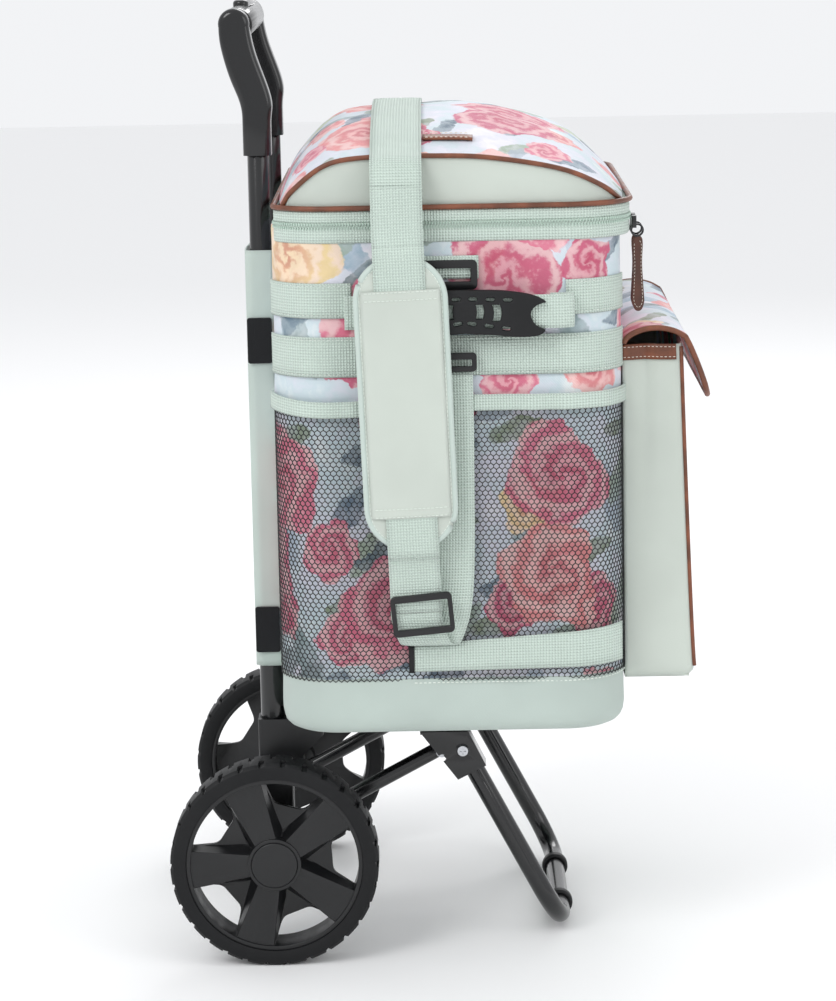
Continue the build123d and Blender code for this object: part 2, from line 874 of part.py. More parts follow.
def lid_loop():
    """A stitched leather grab strap on the lid."""
    path = ((126, 0.5), (133, 0.5), (140, 6), (163, 6), (170, 0.5), (178, 0.5))
    with BuildPart() as piece:
        with BuildSketch(side.offset(120)):
            with BuildLine():
                Polyline(*[(x, 638.5 + h) for x, h in path])
            trace(line_width=3)
        extrude(amount=22)
    return piece.part


# ---------------------------------------------------------------- files

save_pair(tyre(), "tyre")
save_pair(rim(), "rim")
save_pair(hub_cap(), "hub_cap")
save(axle_shaft(), "axle_shaft")
save(push_nuts(), "push_nuts")
save_pair(corner_bracket(), "corner_bracket")
save_pair(upright(outer_tube_radius, inner_tube_radius + 0.06, 95, outer_tube_top), "outer_tube")
save(tube_bushes(), "tube_bushes")
save(platform_rails(), "platform_rails")
save(platform_deck(), "platform_deck")
save_pair(hinge_plate(), "hinge_plate")
save_pair(strut(), "strut")
save(hinge_bolts(), "hinge_bolts")
save(u_leg(), "u_leg")
save(foot_rings(), "foot_rings")

inner_tube_top = collar_bottom + 22
inner_tube_bore = inner_tube_radius - 1.2
save_pair(upright(inner_tube_radius, inner_tube_bore, inner_tube_bottom, inner_tube_top), "inner_tube")
save_pair(handle_arm(), "handle_arm")
save(handle_grip(), "handle_grip")
save(release_button(), "release_button")
save(release_bar(), "release_bar")
save(button_spring(), "button_spring")
save(lock_plugs(), "lock_plugs")

body = bag_shell()
save(body, "bag_shell")
save(liner(), "liner")
save(base_panel(body), "base_panel")
upper_tape = zip_ring(bag_top + 0.5, zip_top, -14)
save(zip_lower(upper_tape), "zip_lower")
save(lid_part(upper_tape, True), "zip_upper")
whole_lid = lid_solid()
save(lid_part(whole_lid, True), "lid_dome")
save(lid_part(whole_lid, False), "lid_back")
save(rear_sleeve(), "rear_sleeve")
save_pair(mesh_pocket(), "mesh_pocket")
save(pocket_bindings(), "pocket_bindings")
save(webbing_bands(), "webbing_bands")
save(front_pocket(), "front_pocket")
save(flap_top(), "flap_top")
save(flap_front(), "flap_front")
save(strap_right(), "strap_right")
save(strap_left(), "strap_left")
save(strap_top(), "strap_top")
save(shoulder_pad(), "shoulder_pad")
save(strap_adjuster(), "strap_adjuster")
save(strap_hooks(), "strap_hooks")
loop = carry_loop()
save_pair(loop, "carry_loop")
save_pair(carry_grip(loop), "carry_grip")
save(zip_sliders(), "zip_sliders")
save(pull_tab(-128), "pull_tab_front")
save(pull_tab(-144), "pull_tab_side")
save(lid_loop(), "lid_loop")
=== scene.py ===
"""Looks of a wheeled shopping trolley: soft bag, netting, webbing, cloth and moulded parts."""
import json
import math
import random

import bpy
import bmesh
from mathutils import Vector, Matrix, noise
from mathutils.geometry import delaunay_2d_cdt

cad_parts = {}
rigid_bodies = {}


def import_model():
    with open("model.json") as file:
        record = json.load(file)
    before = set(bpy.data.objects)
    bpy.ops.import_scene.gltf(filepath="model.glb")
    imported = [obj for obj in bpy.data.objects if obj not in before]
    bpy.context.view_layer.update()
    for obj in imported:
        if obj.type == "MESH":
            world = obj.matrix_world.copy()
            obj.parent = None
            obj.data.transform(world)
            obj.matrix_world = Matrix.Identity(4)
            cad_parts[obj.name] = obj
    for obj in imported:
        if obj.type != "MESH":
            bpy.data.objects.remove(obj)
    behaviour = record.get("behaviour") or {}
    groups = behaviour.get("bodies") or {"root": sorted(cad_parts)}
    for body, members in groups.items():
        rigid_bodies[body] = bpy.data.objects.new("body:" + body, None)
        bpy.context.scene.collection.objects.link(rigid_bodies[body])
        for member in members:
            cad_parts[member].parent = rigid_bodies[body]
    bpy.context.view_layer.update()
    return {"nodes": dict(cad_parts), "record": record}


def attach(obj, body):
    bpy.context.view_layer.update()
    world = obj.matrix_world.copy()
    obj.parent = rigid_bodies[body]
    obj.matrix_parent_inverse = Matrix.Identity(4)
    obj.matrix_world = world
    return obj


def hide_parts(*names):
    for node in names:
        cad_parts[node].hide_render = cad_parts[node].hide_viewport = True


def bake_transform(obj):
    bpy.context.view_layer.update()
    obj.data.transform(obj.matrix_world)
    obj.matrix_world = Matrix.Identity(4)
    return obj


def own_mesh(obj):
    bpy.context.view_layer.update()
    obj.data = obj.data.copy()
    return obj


for old in list(bpy.data.objects):
    bpy.data.objects.remove(old)
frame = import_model()
nodes = frame["nodes"]
random.seed(7)

AXLE = -0.128
BACK, FRONT, HALF, CORNER = 9.0, 270.0, 185.0, 45.0
MID = (BACK + FRONT) / 2
STRAIGHT_SIDE = (FRONT - BACK) / 2 - CORNER
ARC = CORNER * math.pi / 2


def P(x, y, z):
    """Millimetres, X counted from the axle, to the row frame in metres."""
    return Vector((AXLE + x / 1000, y / 1000, z / 1000))


# ------------------------------------------------------------ node materials
def new_mat(name, colour, rough=0.6, metal=0.0, spec=0.5, sheen=0.0, coat=0.0):
    m = bpy.data.materials.new(name)
    m.use_nodes = True
    b = m.node_tree.nodes["Principled BSDF"]
    b.inputs["Base Color"].default_value = (*colour, 1)
    b.inputs["Roughness"].default_value = rough
    b.inputs["Metallic"].default_value = metal
    b.inputs["Specular IOR Level"].default_value = spec
    b.inputs["Sheen Weight"].default_value = sheen
    b.inputs["Sheen Roughness"].default_value = 0.4
    b.inputs["Coat Weight"].default_value = coat
    return m, m.node_tree, b


class G:
    """Short calls that add nodes to one tree."""

    def __init__(self, tree):
        self.t = tree

    def node(self, kind, **vals):
        n = self.t.nodes.new(kind)
        for k, v in vals.items():
            setattr(n, k, v)
        return n

    def put(self, sock, v):
        if isinstance(v, bpy.types.NodeSocket):
            self.t.links.new(v, sock)
        else:
            sock.default_value = v

    def math(self, op, a, b=0.0, c=None, clamp=False):
        n = self.node("ShaderNodeMath", operation=op, use_clamp=clamp)
        self.put(n.inputs[0], a)
        self.put(n.inputs[1], b)
        if c is not None:
            self.put(n.inputs[2], c)
        return n.outputs[0]

    def vmath(self, op, a, b=(0, 0, 0), scale=1.0):
        n = self.node("ShaderNodeVectorMath", operation=op)
        self.put(n.inputs[0], a)
        self.put(n.inputs[1], b)
        if op == "SCALE":
            self.put(n.inputs["Scale"], scale)
        return n.outputs["Value"] if op in ("LENGTH", "DOT_PRODUCT") else n.outputs[0]

    def coord(self, uv=False):
        n = self.node("ShaderNodeTexCoord")
        return n.outputs["UV" if uv else "Object"]

    def split(self, v):
        n = self.node("ShaderNodeSeparateXYZ")
        self.put(n.inputs[0], v)
        return n.outputs

    def join(self, x, y, z=0.0):
        n = self.node("ShaderNodeCombineXYZ")
        for s, v in zip(n.inputs, (x, y, z)):
            self.put(s, v)
        return n.outputs[0]

    def noise(self, v, scale, detail=3.0, rough=0.5, colour=False):
        n = self.node("ShaderNodeTexNoise")
        self.put(n.inputs["Vector"], v)
        n.inputs["Scale"].default_value = scale
        n.inputs["Detail"].default_value = detail
        n.inputs["Roughness"].default_value = rough
        return n.outputs["Color" if colour else "Fac"]

    def voronoi(self, v, scale, feature="F1", rand=1.0):
        n = self.node("ShaderNodeTexVoronoi", feature=feature, voronoi_dimensions="2D")
        self.put(n.inputs["Vector"], v)
        n.inputs["Scale"].default_value = scale
        n.inputs["Randomness"].default_value = rand
        return n

    def ramp(self, v, stops, mode="LINEAR"):
        n = self.node("ShaderNodeValToRGB")
        n.color_ramp.interpolation = mode
        els = n.color_ramp.elements
        while len(els) < len(stops):
            els.new(0.5)
        for e, (p, c) in zip(els, stops):
            e.position = p
            e.color = (*srgb(*c), 1)
        self.put(n.inputs[0], v)
        return n.outputs[0]

    def mix(self, f, a, b, blend="MIX"):
        n = self.node("ShaderNodeMix", data_type="RGBA", blend_type=blend)
        self.put(n.inputs[0], f)
        self.put(n.inputs[6], a)
        self.put(n.inputs[7], b)
        return n.outputs[2]

    def step(self, v, lo, hi):
        n = self.node("ShaderNodeMapRange", interpolation_type="SMOOTHSTEP")
        self.put(n.inputs[0], v)
        n.inputs[1].default_value = lo
        n.inputs[2].default_value = hi
        return n.outputs[0]

    def bump(self, shader, height, dist, strength=1.0, after=None):
        n = self.node("ShaderNodeBump")
        n.inputs["Distance"].default_value = dist
        n.inputs["Strength"].default_value = strength
        self.put(n.inputs["Height"], height)
        if after is not None:
            self.put(n.inputs["Normal"], after)
        self.t.links.new(n.outputs[0], shader.inputs["Normal"])
        return n.outputs[0]


def srgb(r, g, b):
    f = lambda c: c / 12.92 if c <= 0.04045 else ((c + 0.055) / 1.055) ** 2.4
    return f(r / 255), f(g / 255), f(b / 255)


def rgb(r, g, b):
    return (*srgb(r, g, b), 1)


def weave_height(g, uv, pitch):
    """Crossing threads: two rows of ridges that pass over each other."""
    k = 2 * math.pi / pitch
    x, y, _ = g.split(uv)
    a = g.math("SINE", g.math("MULTIPLY", x, k))
    b = g.math("SINE", g.math("MULTIPLY", y, k))
    return g.math("MULTIPLY", a, b)


def cloth(name, colour, pitch=0.0011, height=0.00025, vary=0.018, sheen=0.25, rough=0.85):
    m, t, b = new_mat(name, srgb(*colour), rough, spec=0.25, sheen=sheen)
    g = G(t)
    uv = g.coord(True)
    big = g.noise(uv, 9, 3)
    fine = g.noise(uv, 900, 2)
    h = g.math("ADD", weave_height(g, uv, pitch), g.math("MULTIPLY", fine, 0.8))
    dark = tuple(c * (1 - 2.2 * vary) for c in colour)
    light = tuple(min(255, c * (1 + vary)) for c in colour)
    base = g.mix(g.step(big, 0.3, 0.7), rgb(*dark), rgb(*light))
    # painted shade: the colour is darkened in the weave's hollows, below the thread crossings
    thread = g.math("MULTIPLY_ADD", g.math("MINIMUM", h, 0.0), 0.10, 1.0)
    base = g.mix(1.0, base, g.join(thread, thread, thread), "MULTIPLY")
    g.put(b.inputs["Base Color"], base)
    wr = g.bump(b, g.noise(uv, 30, 5, 0.6), 0.0012, 0.35)
    g.bump(b, h, height, 0.6, wr)
    return m


def webbing(name, colour):
    """Narrow woven tape: ribs along it, crossed by fine picks."""
    m, t, b = new_mat(name, srgb(*colour), 0.8, spec=0.25, sheen=0.3)
    g = G(t)
    uv = g.coord(True)
    x, y, _ = g.split(uv)
    rib = g.math("SINE", g.math("MULTIPLY", y, 2 * math.pi / 0.0044))
    pick = g.math("SINE",
        g.math("MULTIPLY_ADD", g.math("ABSOLUTE", rib), 1.2, g.math("MULTIPLY", x, 2 * math.pi / 0.0022)))
    h = g.math("MULTIPLY_ADD", pick, 0.6, g.math("ABSOLUTE", rib))
    shade = g.math("MULTIPLY_ADD", h, 0.13, 0.86)
    soil = g.math("MULTIPLY_ADD", g.noise(uv, 35, 4), 0.12, 0.94)
    k = g.math("MULTIPLY", shade, soil)
    g.put(b.inputs["Base Color"], g.mix(1.0, rgb(*colour), g.join(k, k, k), "MULTIPLY"))
    g.bump(b, h, 0.0005, 0.9)
    return m


def print_cloth(name):
    """Coated canvas with a loose watercolour print of big roses and leaves on a pale washed ground."""
    m, t, b = new_mat(name, (0.7, 0.7, 0.75), 0.62, spec=0.35, sheen=0.15)
    g = G(t)
    uv = g.coord(True)
    wob = g.vmath("SCALE", g.vmath("SUBTRACT", g.noise(uv, 45, 4, 0.6, colour=True), (0.5, 0.5, 0.5)),
        scale=0.022)
    p = g.vmath("ADD", uv, wob)
    wash = g.noise(p, 14, 5, 0.62)
    ground = g.ramp(wash,
        [(0.30, (243, 240, 243)), (0.44, (222, 222, 233)), (0.56, (204, 219, 225)),
        (0.70, (238, 240, 240))])

    def leaves(base, scale, turn, shift, long, keep, size, colours):
        c, s = math.cos(turn), math.sin(turn)
        x, y, _ = g.split(p)
        u = g.math("ADD", g.math("MULTIPLY", x, c), g.math("MULTIPLY", y, s))
        v = g.math("SUBTRACT", g.math("MULTIPLY", y, c), g.math("MULTIPLY", x, s))
        vor = g.voronoi(g.join(g.math("ADD", u, shift), g.math("MULTIPLY", v, long)), scale, rand=0.9)
        rnd = g.split(vor.outputs["Color"])
        on = g.math("GREATER_THAN", rnd[0], 1 - keep)
        mask = g.math("MULTIPLY", on,
            g.math("SUBTRACT", 1.0, g.step(vor.outputs["Distance"], size * 0.86, size)))
        vein = g.math("MULTIPLY_ADD", g.step(g.noise(p, 90, 3), 0.35, 0.7), 0.45, 0.5)
        tone = g.ramp(rnd[1], colours, "CONSTANT")
        return g.mix(g.math("MULTIPLY", mask, vein), base, tone)

    col = leaves(ground, 26, 0.5, 0.31, 0.36, 0.5, 0.31,
                 [(0, (150, 178, 196)), (0.35, (176, 190, 205)), (0.7, (139, 158, 160))])
    col = leaves(col, 32, -0.7, 1.17, 0.34, 0.5, 0.30,
                 [(0, (112, 126, 128)), (0.3, (154, 172, 150)), (0.65, (96, 118, 138)),
        (0.85, (186, 194, 150))])
    col = leaves(col, 38, 1.9, 2.3, 0.32, 0.42, 0.29,
                 [(0, (84, 104, 122)), (0.4, (128, 142, 112)), (0.8, (166, 178, 190))])

    def roses(base, scale, shift, keep, radius, palette):
        q = g.vmath("ADD", p, shift)
        vor = g.voronoi(q, scale, rand=0.75)
        rnd = g.split(vor.outputs["Color"])
        d = g.vmath("SUBTRACT", g.vmath("SCALE", q, scale=scale),
            g.vmath("SCALE", vor.outputs["Position"], scale=scale))
        dx, dy, _ = g.split(d)
        r = vor.outputs["Distance"]
        ang = g.math("ARCTAN2", dy, dx)
        turn = g.math("MULTIPLY_ADD", rnd[2], 6.28, ang)
        wavy = g.math("MULTIPLY", g.math("SINE", g.math("MULTIPLY", turn, 5.0)), 0.035)
        edge = g.math("ADD", radius, wavy)
        inside = g.math("SUBTRACT", edge, r)
        mask = g.math("MULTIPLY", g.step(inside, 0.0, 0.018), g.math("GREATER_THAN", rnd[0], 1 - keep))
        swirl = g.math("ADD", g.math("MULTIPLY", g.math("POWER", r, 0.75), 34.0),
            g.math("MULTIPLY", turn, 2.0))
        swirl = g.math("ADD", swirl, g.math("MULTIPLY", g.noise(uv, 46, 5, 0.62), 15.0))
        petal = g.step(g.math("SINE", swirl), -1.0, 1.1)
        deep = g.step(r, 0.02, 0.34)
        tone = g.ramp(rnd[1], palette, "CONSTANT")
        pale = g.mix(0.62, tone, rgb(250, 226, 222))
        dark = g.mix(0.55, tone, rgb(190, 62, 92))
        flower = g.mix(petal, g.mix(deep, dark, tone), g.mix(deep, g.mix(0.5, tone, pale), pale))
        wet = g.math("MULTIPLY_ADD", g.noise(p, 55, 4, 0.6), 0.30, 0.80)
        flower = g.mix(1.0, flower, g.join(wet, wet, wet), "MULTIPLY")
        return g.mix(g.math("MULTIPLY", mask, 0.94), base, flower)

    pinks = [(0, (226, 120, 146)), (0.30, (236, 150, 150)), (0.52, (206, 92, 124)), (0.72, (238, 166, 140)),
        (0.86, (240, 214, 160))]
    col = roses(col, 15.5, (0.37, 0.81, 0), 0.58, 0.34, pinks)
    col = roses(col, 9.6, (1.13, 0.264, 0), 0.78, 0.41, pinks)
    h = weave_height(g, uv, 0.0012)
    shade = g.math("MULTIPLY_ADD", h, 0.05, 0.96)
    g.put(b.inputs["Base Color"], g.mix(1.0, col, g.join(shade, shade, shade), "MULTIPLY"))
    wr = g.bump(b, g.noise(uv, 16, 4, 0.55), 0.0025, 0.35)
    g.bump(b, h, 0.00022, 0.5, wr)
    return m


def hard(name, colour, rough=0.45, metal=0.0, grain=1400.0, depth=0.00006, spread=0.12, coat=0.0, spec=0.5):
    """Moulded plastic, rubber or painted metal: fine grain, patchy sheen and faint dust."""
    m, t, b = new_mat(name, srgb(*colour), rough, metal, spec, coat=coat)
    g = G(t)
    o = g.coord()
    patch = g.noise(o, 18, 4)
    g.put(b.inputs["Roughness"], g.math("MULTIPLY_ADD", patch, spread * 2, rough - spread))
    dust = g.step(g.noise(o, 7, 6, 0.65), 0.45, 0.85)
    g.put(b.inputs["Base Color"], g.mix(g.math("MULTIPLY", dust, 0.035), rgb(*colour), rgb(120, 120, 122)))
    g.bump(b, g.noise(o, grain, 2), depth, 0.5)
    return m


def leather(name, colour):
    m, t, b = new_mat(name, srgb(*colour), 0.45, spec=0.45)
    g = G(t)
    o = g.coord()
    v = g.node("ShaderNodeTexVoronoi", feature="F1")
    g.put(v.inputs["Vector"], o)
    v.inputs["Scale"].default_value = 900
    worn = g.step(g.noise(o, 60, 5, 0.6), 0.35, 0.75)
    dark = tuple(c * 0.72 for c in colour)
    g.put(b.inputs["Base Color"], g.mix(worn, rgb(*dark), rgb(*colour)))
    g.put(b.inputs["Roughness"], g.math("MULTIPLY_ADD", worn, 0.2, 0.35))
    g.bump(b, v.outputs["Distance"], 0.0002, 0.5)
    return m


MAT = {
    "tyre_black": hard("tyre_black", (13, 14, 16), 0.55, grain=700, depth=0.00015, spec=0.3),
    "black_plastic": hard("black_plastic", (12, 13, 15), 0.36, grain=1100, depth=0.00008),
    "black_gloss": hard("black_gloss", (11, 12, 14), 0.2, grain=1500, depth=0.00003, spread=0.06,
    coat=0.15),
    "black_steel": hard("black_steel", (10, 11, 13), 0.22, grain=500, depth=0.00004, spread=0.07,
    coat=0.25),
    "bright_steel": hard("bright_steel", (196, 198, 202), 0.28, metal=1.0, grain=1800, depth=0.00003),
    "black_rubber": hard("black_rubber", (15, 16, 18), 0.5, grain=900, depth=0.0001, spec=0.35),
    "print_fabric": print_cloth("print_fabric"),
    "mint_fabric": cloth("mint_fabric", (191, 204, 197)),
    "mint_webbing": webbing("mint_webbing", (202, 217, 207)),
    "pale_fabric": cloth("pale_fabric", (206, 214, 205), pitch=0.0009, vary=0.012),
    "mesh": hard("mesh", (22, 23, 25), 0.6, grain=2500, depth=0.00005),
    "lining": cloth("lining", (206, 209, 212), pitch=0.004, height=0.0002, sheen=0.0, rough=0.35),
    "leather": leather("leather", (134, 78, 54)),
}
DARK_LEATHER = leather("dark_leather", (92, 56, 44))
THREAD = hard("thread", (232, 226, 214), 0.8, grain=3000)
LIGHT_THREAD = hard("light_thread", (226, 234, 226), 0.8, grain=3000)
HOOK_TAPE = cloth("hook_tape", (26, 27, 29), pitch=0.0014, height=0.0005, sheen=0.5)


# ------------------------------------------------------------ mesh helpers
def obj_from(name, verts, faces, mats, slot, body=None, uvs=None, face_mats=None):
    me = bpy.data.meshes.new(name)
    me.from_pydata([tuple(v) for v in verts], [], faces)
    for m in mats if isinstance(mats, (list, tuple)) else [mats]:
        me.materials.append(m)
    if face_mats is not None:
        me.polygons.foreach_set("material_index", face_mats)
    if uvs is not None:
        layer = me.uv_layers.new(name="UVMap")
        for poly in me.polygons:
            for li in poly.loop_indices:
                layer.data[li].uv = uvs[me.loops[li].vertex_index]
    me.update()
    me.shade_smooth()
    o = bpy.data.objects.new(name, me)
    bpy.context.scene.collection.objects.link(o)
    if body:
        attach(o, body)
    return o


def outward(o):
    bm = bmesh.new()
    bm.from_mesh(o.data)
    bmesh.ops.recalc_face_normals(bm, faces=bm.faces)
    bm.to_mesh(o.data)
    bm.free()


def grid(name, fn, nu, nv, mats, slot, body=None, uv=None, thick=0.0, side=1.0, fmat=None):
    """A sheet: fn(i, j) gives the point and uv(i, j) its place on the cloth, in metres."""
    verts, uvs, faces, fm = [], [], [], []
    for j in range(nv + 1):
        for i in range(nu + 1):
            verts.append(fn(i / nu, j / nv))
            uvs.append(uv(i / nu, j / nv) if uv else (i / nu, j / nv))
    for j in range(nv):
        for i in range(nu):
            a = j * (nu + 1) + i
            faces.append((a, a + 1, a + nu + 2, a + nu + 1))
            fm.append(fmat((i + 0.5) / nu, (j + 0.5) / nv) if fmat else 0)
    o = obj_from(name, verts, faces, mats, slot, body, uvs, fm)
    if thick:
        s = o.modifiers.new("thick", "SOLIDIFY")
        s.thickness = thick / 1000
        s.offset = side
        s.use_even_offset = False
    return o


def ribbon(name, centre, across, width, thick, mat, slot, body, n=40):
    """Flat webbing along a line of points: across is its width direction, one for each point or for all."""
    pts = resample(centre, n)
    dirs = across if isinstance(across, list) else [across] * len(pts)
    verts, uvs, faces = [], [], []
    half, run = width / 2000, 0.0
    m = 6
    for k, p in enumerate(pts):
        t = (pts[min(k + 1, n)] - pts[max(k - 1, 0)]).normalized()
        w = dirs[min(k, len(dirs) - 1)].normalized()
        nrm = t.cross(w).normalized()
        if k:
            run += (p - pts[k - 1]).length
        ring = []
        for s in (1, -1):
            for q in range(m + 1):
                f = (q / m * 2 - 1) * s
                edge = 1 - abs(f) ** 8 * 0.6
                ring.append((p + w * half * f + nrm * (thick / 2000) * s * edge, (run, half * f)))
        for v, uvp in ring:
            verts.append(v)
            uvs.append(uvp)
    c = 2 * (m + 1)
    for k in range(n):
        for q in range(c):
            a, b2 = k * c + q, k * c + (q + 1) % c
            faces.append((a, b2, b2 + c, a + c))
    faces.append(tuple(range(c)))
    faces.append(tuple(range(n * c, n * c + c))[::-1])
    o = obj_from(name, verts, faces, mat, slot, body, uvs)
    outward(o)
    return o


def resample(points, n):
    pts = [Vector(p) for p in points]
    d = [0.0]
    for a, b2 in zip(pts, pts[1:]):
        d.append(d[-1] + (b2 - a).length)
    out, k = [], 0
    for i in range(n + 1):
        t = d[-1] * i / n
        while k < len(pts) - 2 and d[k + 1] < t:
            k += 1
        out.append(pts[k].lerp(pts[k + 1], min(1, (t - d[k]) / max(1e-9, d[k + 1] - d[k]))))
    return out


def smooth_path(points, per=8):
    """A Catmull-Rom line through the points."""
    p = [Vector(q) for q in points]
    p = [p[0] * 2 - p[1]] + p + [p[-1] * 2 - p[-2]]
    out = []
    for i in range(1, len(p) - 2):
        for s in range(per):
            t = s / per
            a, b2, c, d = p[i - 1:i + 3]
            out.append(0.5
                * (2 * b2 + (c - a) * t + (2 * a - 5 * b2 + 4 * c - d) * t * t + (3 * b2 - a - 3 * c + d)
                * t ** 3))
    return out + [p[-2]]


def tube(name, points, radius, mat, slot, body, closed=False, sides=10):
    verts, faces = [], []
    n = len(points)
    for k, p in enumerate(points):
        a, b2 = (points[k - 1], points[(k + 1) % n]) if closed else (points[max(0, k - 1)],
            points[min(n - 1, k + 1)])
        t = (b2 - a).normalized()
        up = Vector((0, 0, 1)) if abs(t.z) < 0.9 else Vector((1, 0, 0))
        x = t.cross(up).normalized()
        y = t.cross(x)
        for s in range(sides):
            q = 2 * math.pi * s / sides
            verts.append(p + (x * math.cos(q) + y * math.sin(q)) * radius / 1000)
    for k in range(n if closed else n - 1):
        for s in range(sides):
            a, b2 = k * sides + s, k * sides + (s + 1) % sides
            c, d = ((k + 1) % n) * sides + (s + 1) % sides, ((k + 1) % n) * sides + s
            faces.append((a, b2, c, d))
    if not closed:
        faces += [tuple(range(sides)), tuple(range((n - 1) * sides, n * sides))]
    o = obj_from(name, verts, faces, mat, slot, body)
    outward(o)
    return o


def beads(name, items, mat, slot, body):
    """Many small blocks in one mesh: each item is (centre, axis x, axis y, half sizes in mm)."""
    verts, faces = [], []
    for c, ax, ay, (hx, hy, hz) in items:
        ax, ay = ax.normalized(), ay.normalized()
        az = ax.cross(ay)
        b0 = len(verts)
        for sz in (-1, 1):
            for sx, sy in ((-1, -0.55), (-0.55, -1), (0.55, -1), (1, -0.55), (1, 0.55), (0.55, 1),
                    (-0.55, 1), (-1, 0.55)):
                k = 1.0 if sz < 0 else 0.72
                verts.append(c + (ax * hx * sx * k + ay * hy * sy * k + az * hz * sz) / 1000)
        for s in range(8):
            faces.append((b0 + s, b0 + (s + 1) % 8, b0 + 8 + (s + 1) % 8, b0 + 8 + s))
        faces += [tuple(range(b0, b0 + 8))[::-1], tuple(range(b0 + 8, b0 + 16))]
    o = obj_from(name, verts, faces, mat, slot, body)
    outward(o)
    return o


def stitches(name, points, normal, body, pitch=3.4, size=(1.25, 0.32, 0.22), mat=None, slot="mint_fabric"):
    """A row of thread stitches along a line of points, standing on a surface with that normal."""
    length = sum((b2 - a).length for a, b2 in zip(points, points[1:]))
    n = max(2, int(length * 1000 / pitch))
    pts = resample(points, n)
    items = []
    for a, b2 in zip(pts, pts[1:]):
        ax = b2 - a
        nn = normal - ax.normalized() * normal.dot(ax.normalized())
        items.append((a.lerp(b2, 0.5), ax, nn.cross(ax), size))
    return beads(name, items, mat or THREAD, slot, body)


def slab(name, outline, plane, thick, mat, body, bevel=0.6):
    """A flat shape with rounded edges, extruded both ways. plane maps (a, b) to a point."""
    cu = bpy.data.curves.new(name, "CURVE")
    cu.dimensions = "2D"
    cu.fill_mode = "BOTH"
    sp = cu.splines.new("POLY")
    sp.points.add(len(outline) - 1)
    for pt, (a, b2) in zip(sp.points, outline):
        pt.co = (a, b2, 0, 1)
    sp.use_cyclic_u = True
    cu.extrude = thick / 2 - bevel
    cu.bevel_depth = bevel
    cu.bevel_resolution = 2
    cu.offset = -bevel
    tmp = bpy.data.objects.new(name, cu)
    bpy.context.scene.collection.objects.link(tmp)
    me = bpy.data.meshes.new_from_object(tmp)
    bpy.data.objects.remove(tmp)
    org, ax, ay = plane
    az = ax.cross(ay)
    layer = me.uv_layers.new(name="UVMap")
    for poly in me.polygons:
        for li in poly.loop_indices:
            c = me.vertices[me.loops[li].vertex_index].co
            layer.data[li].uv = (c.x / 1000, c.y / 1000)
    for v in me.vertices:
        c = v.co.copy()
        v.co = org + (ax * c.x + ay * c.y + az * c.z) / 1000
    me.materials.clear()
    me.materials.append(mat)
    o = bpy.data.objects.new(name, me)
    bpy.context.scene.collection.objects.link(o)
    me.shade_smooth()
    me.set_sharp_from_angle(angle=math.radians(40))
    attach(o, body)
    return o


def round_outline(w, h, r, n=6, cx=0.0):
    out = []
    for qx, qy, a0 in ((1, 1, 0), (-1, 1, 90), (-1, -1, 180), (1, -1, 270)):
        for k in range(n + 1):
            a = math.radians(a0 + 90 * k / n)
            out.append((cx + qx * (w / 2 - r) + r * math.cos(a), qy * (h / 2 - r) + r * math.sin(a)))
    return out


# ------------------------------------------------------------ bag outline
PERIM_SIDE = 2 * STRAIGHT_SIDE
STRAIGHT_FRONT = 2 * (HALF - CORNER)
PERIM = 2 * PERIM_SIDE + 2 * STRAIGHT_FRONT + 4 * ARC


def outline(s, d=0.0):
    """Point (X, Y) and outward normal at arc length s in mm, from mid right side to the front."""
    s = (s + PERIM_SIDE / 2) % PERIM
    parts = ((PERIM_SIDE, (MID - STRAIGHT_SIDE, -HALF), 0), (ARC, None, 0),
        (STRAIGHT_FRONT, (FRONT, -(HALF - CORNER)), 90), (ARC, None, 90),
             (PERIM_SIDE, (MID + STRAIGHT_SIDE, HALF), 180), (ARC, None, 180),
        (STRAIGHT_FRONT, (BACK, HALF - CORNER), 270), (ARC, None, 270))
    centres = {0: (FRONT - CORNER, -HALF + CORNER), 90: (FRONT - CORNER, HALF - CORNER),
               180: (BACK + CORNER, HALF - CORNER), 270: (BACK + CORNER, -HALF + CORNER)}
    for length, origin, head in parts:
        if s <= length:
            break
        s -= length
    a = math.radians(head)
    if origin:
        nx, ny = math.sin(a), -math.cos(a)
        return origin[0] + math.cos(a) * s + nx * d, origin[1] + math.sin(a) * s + ny * d, nx, ny
    b2 = a + s / CORNER
    nx, ny = math.sin(b2), -math.cos(b2)
    cx, cy = centres[head]
    return cx + nx * (CORNER + d), cy + ny * (CORNER + d), nx, ny


def wave(x, y, z, scale, amp):
    return noise.noise(Vector((x, y, z)) * scale) * amp


# ------------------------------------------------------------ bag body
def bag_surface(z_list, name, mat, slot, body, n=260, wrinkle=0.9):
    """Rounded wall made of rings: each entry is (offset, z)."""
    rows = len(z_list)
    verts, uvs, faces = [], [], []
    run = 0.0
    for j, (d, z) in enumerate(z_list):
        if j:
            run += math.hypot(d - z_list[j - 1][0], z - z_list[j - 1][1])
        for i in range(n + 1):
            s = PERIM * (i / n - 0.25)
            w = wave(math.cos(2 * math.pi * i / n) * 3, math.sin(2 * math.pi * i / n) * 3, z * 0.012, 1.6,
                wrinkle)
            w += wave(math.cos(2 * math.pi * i / n) * 9, math.sin(2 * math.pi * i / n) * 9, z * 0.05, 1.0,
                wrinkle * 0.3)
            w = min(w, 0.8) if d > -2 else min(w, 0.6) if z_list[0][0] < -9 and wrinkle > 2 and j else 0
            x, y, _, _ = outline(s, d + w)
            verts.append(P(x, y, z))
            uvs.append((s / 1000, run / 1000))
    for j in range(rows - 1):
        for i in range(n):
            a = j * (n + 1) + i
            faces.append((a, a + 1, a + n + 2, a + n + 1))
    return obj_from(name, verts, faces, mat, slot, body, uvs)


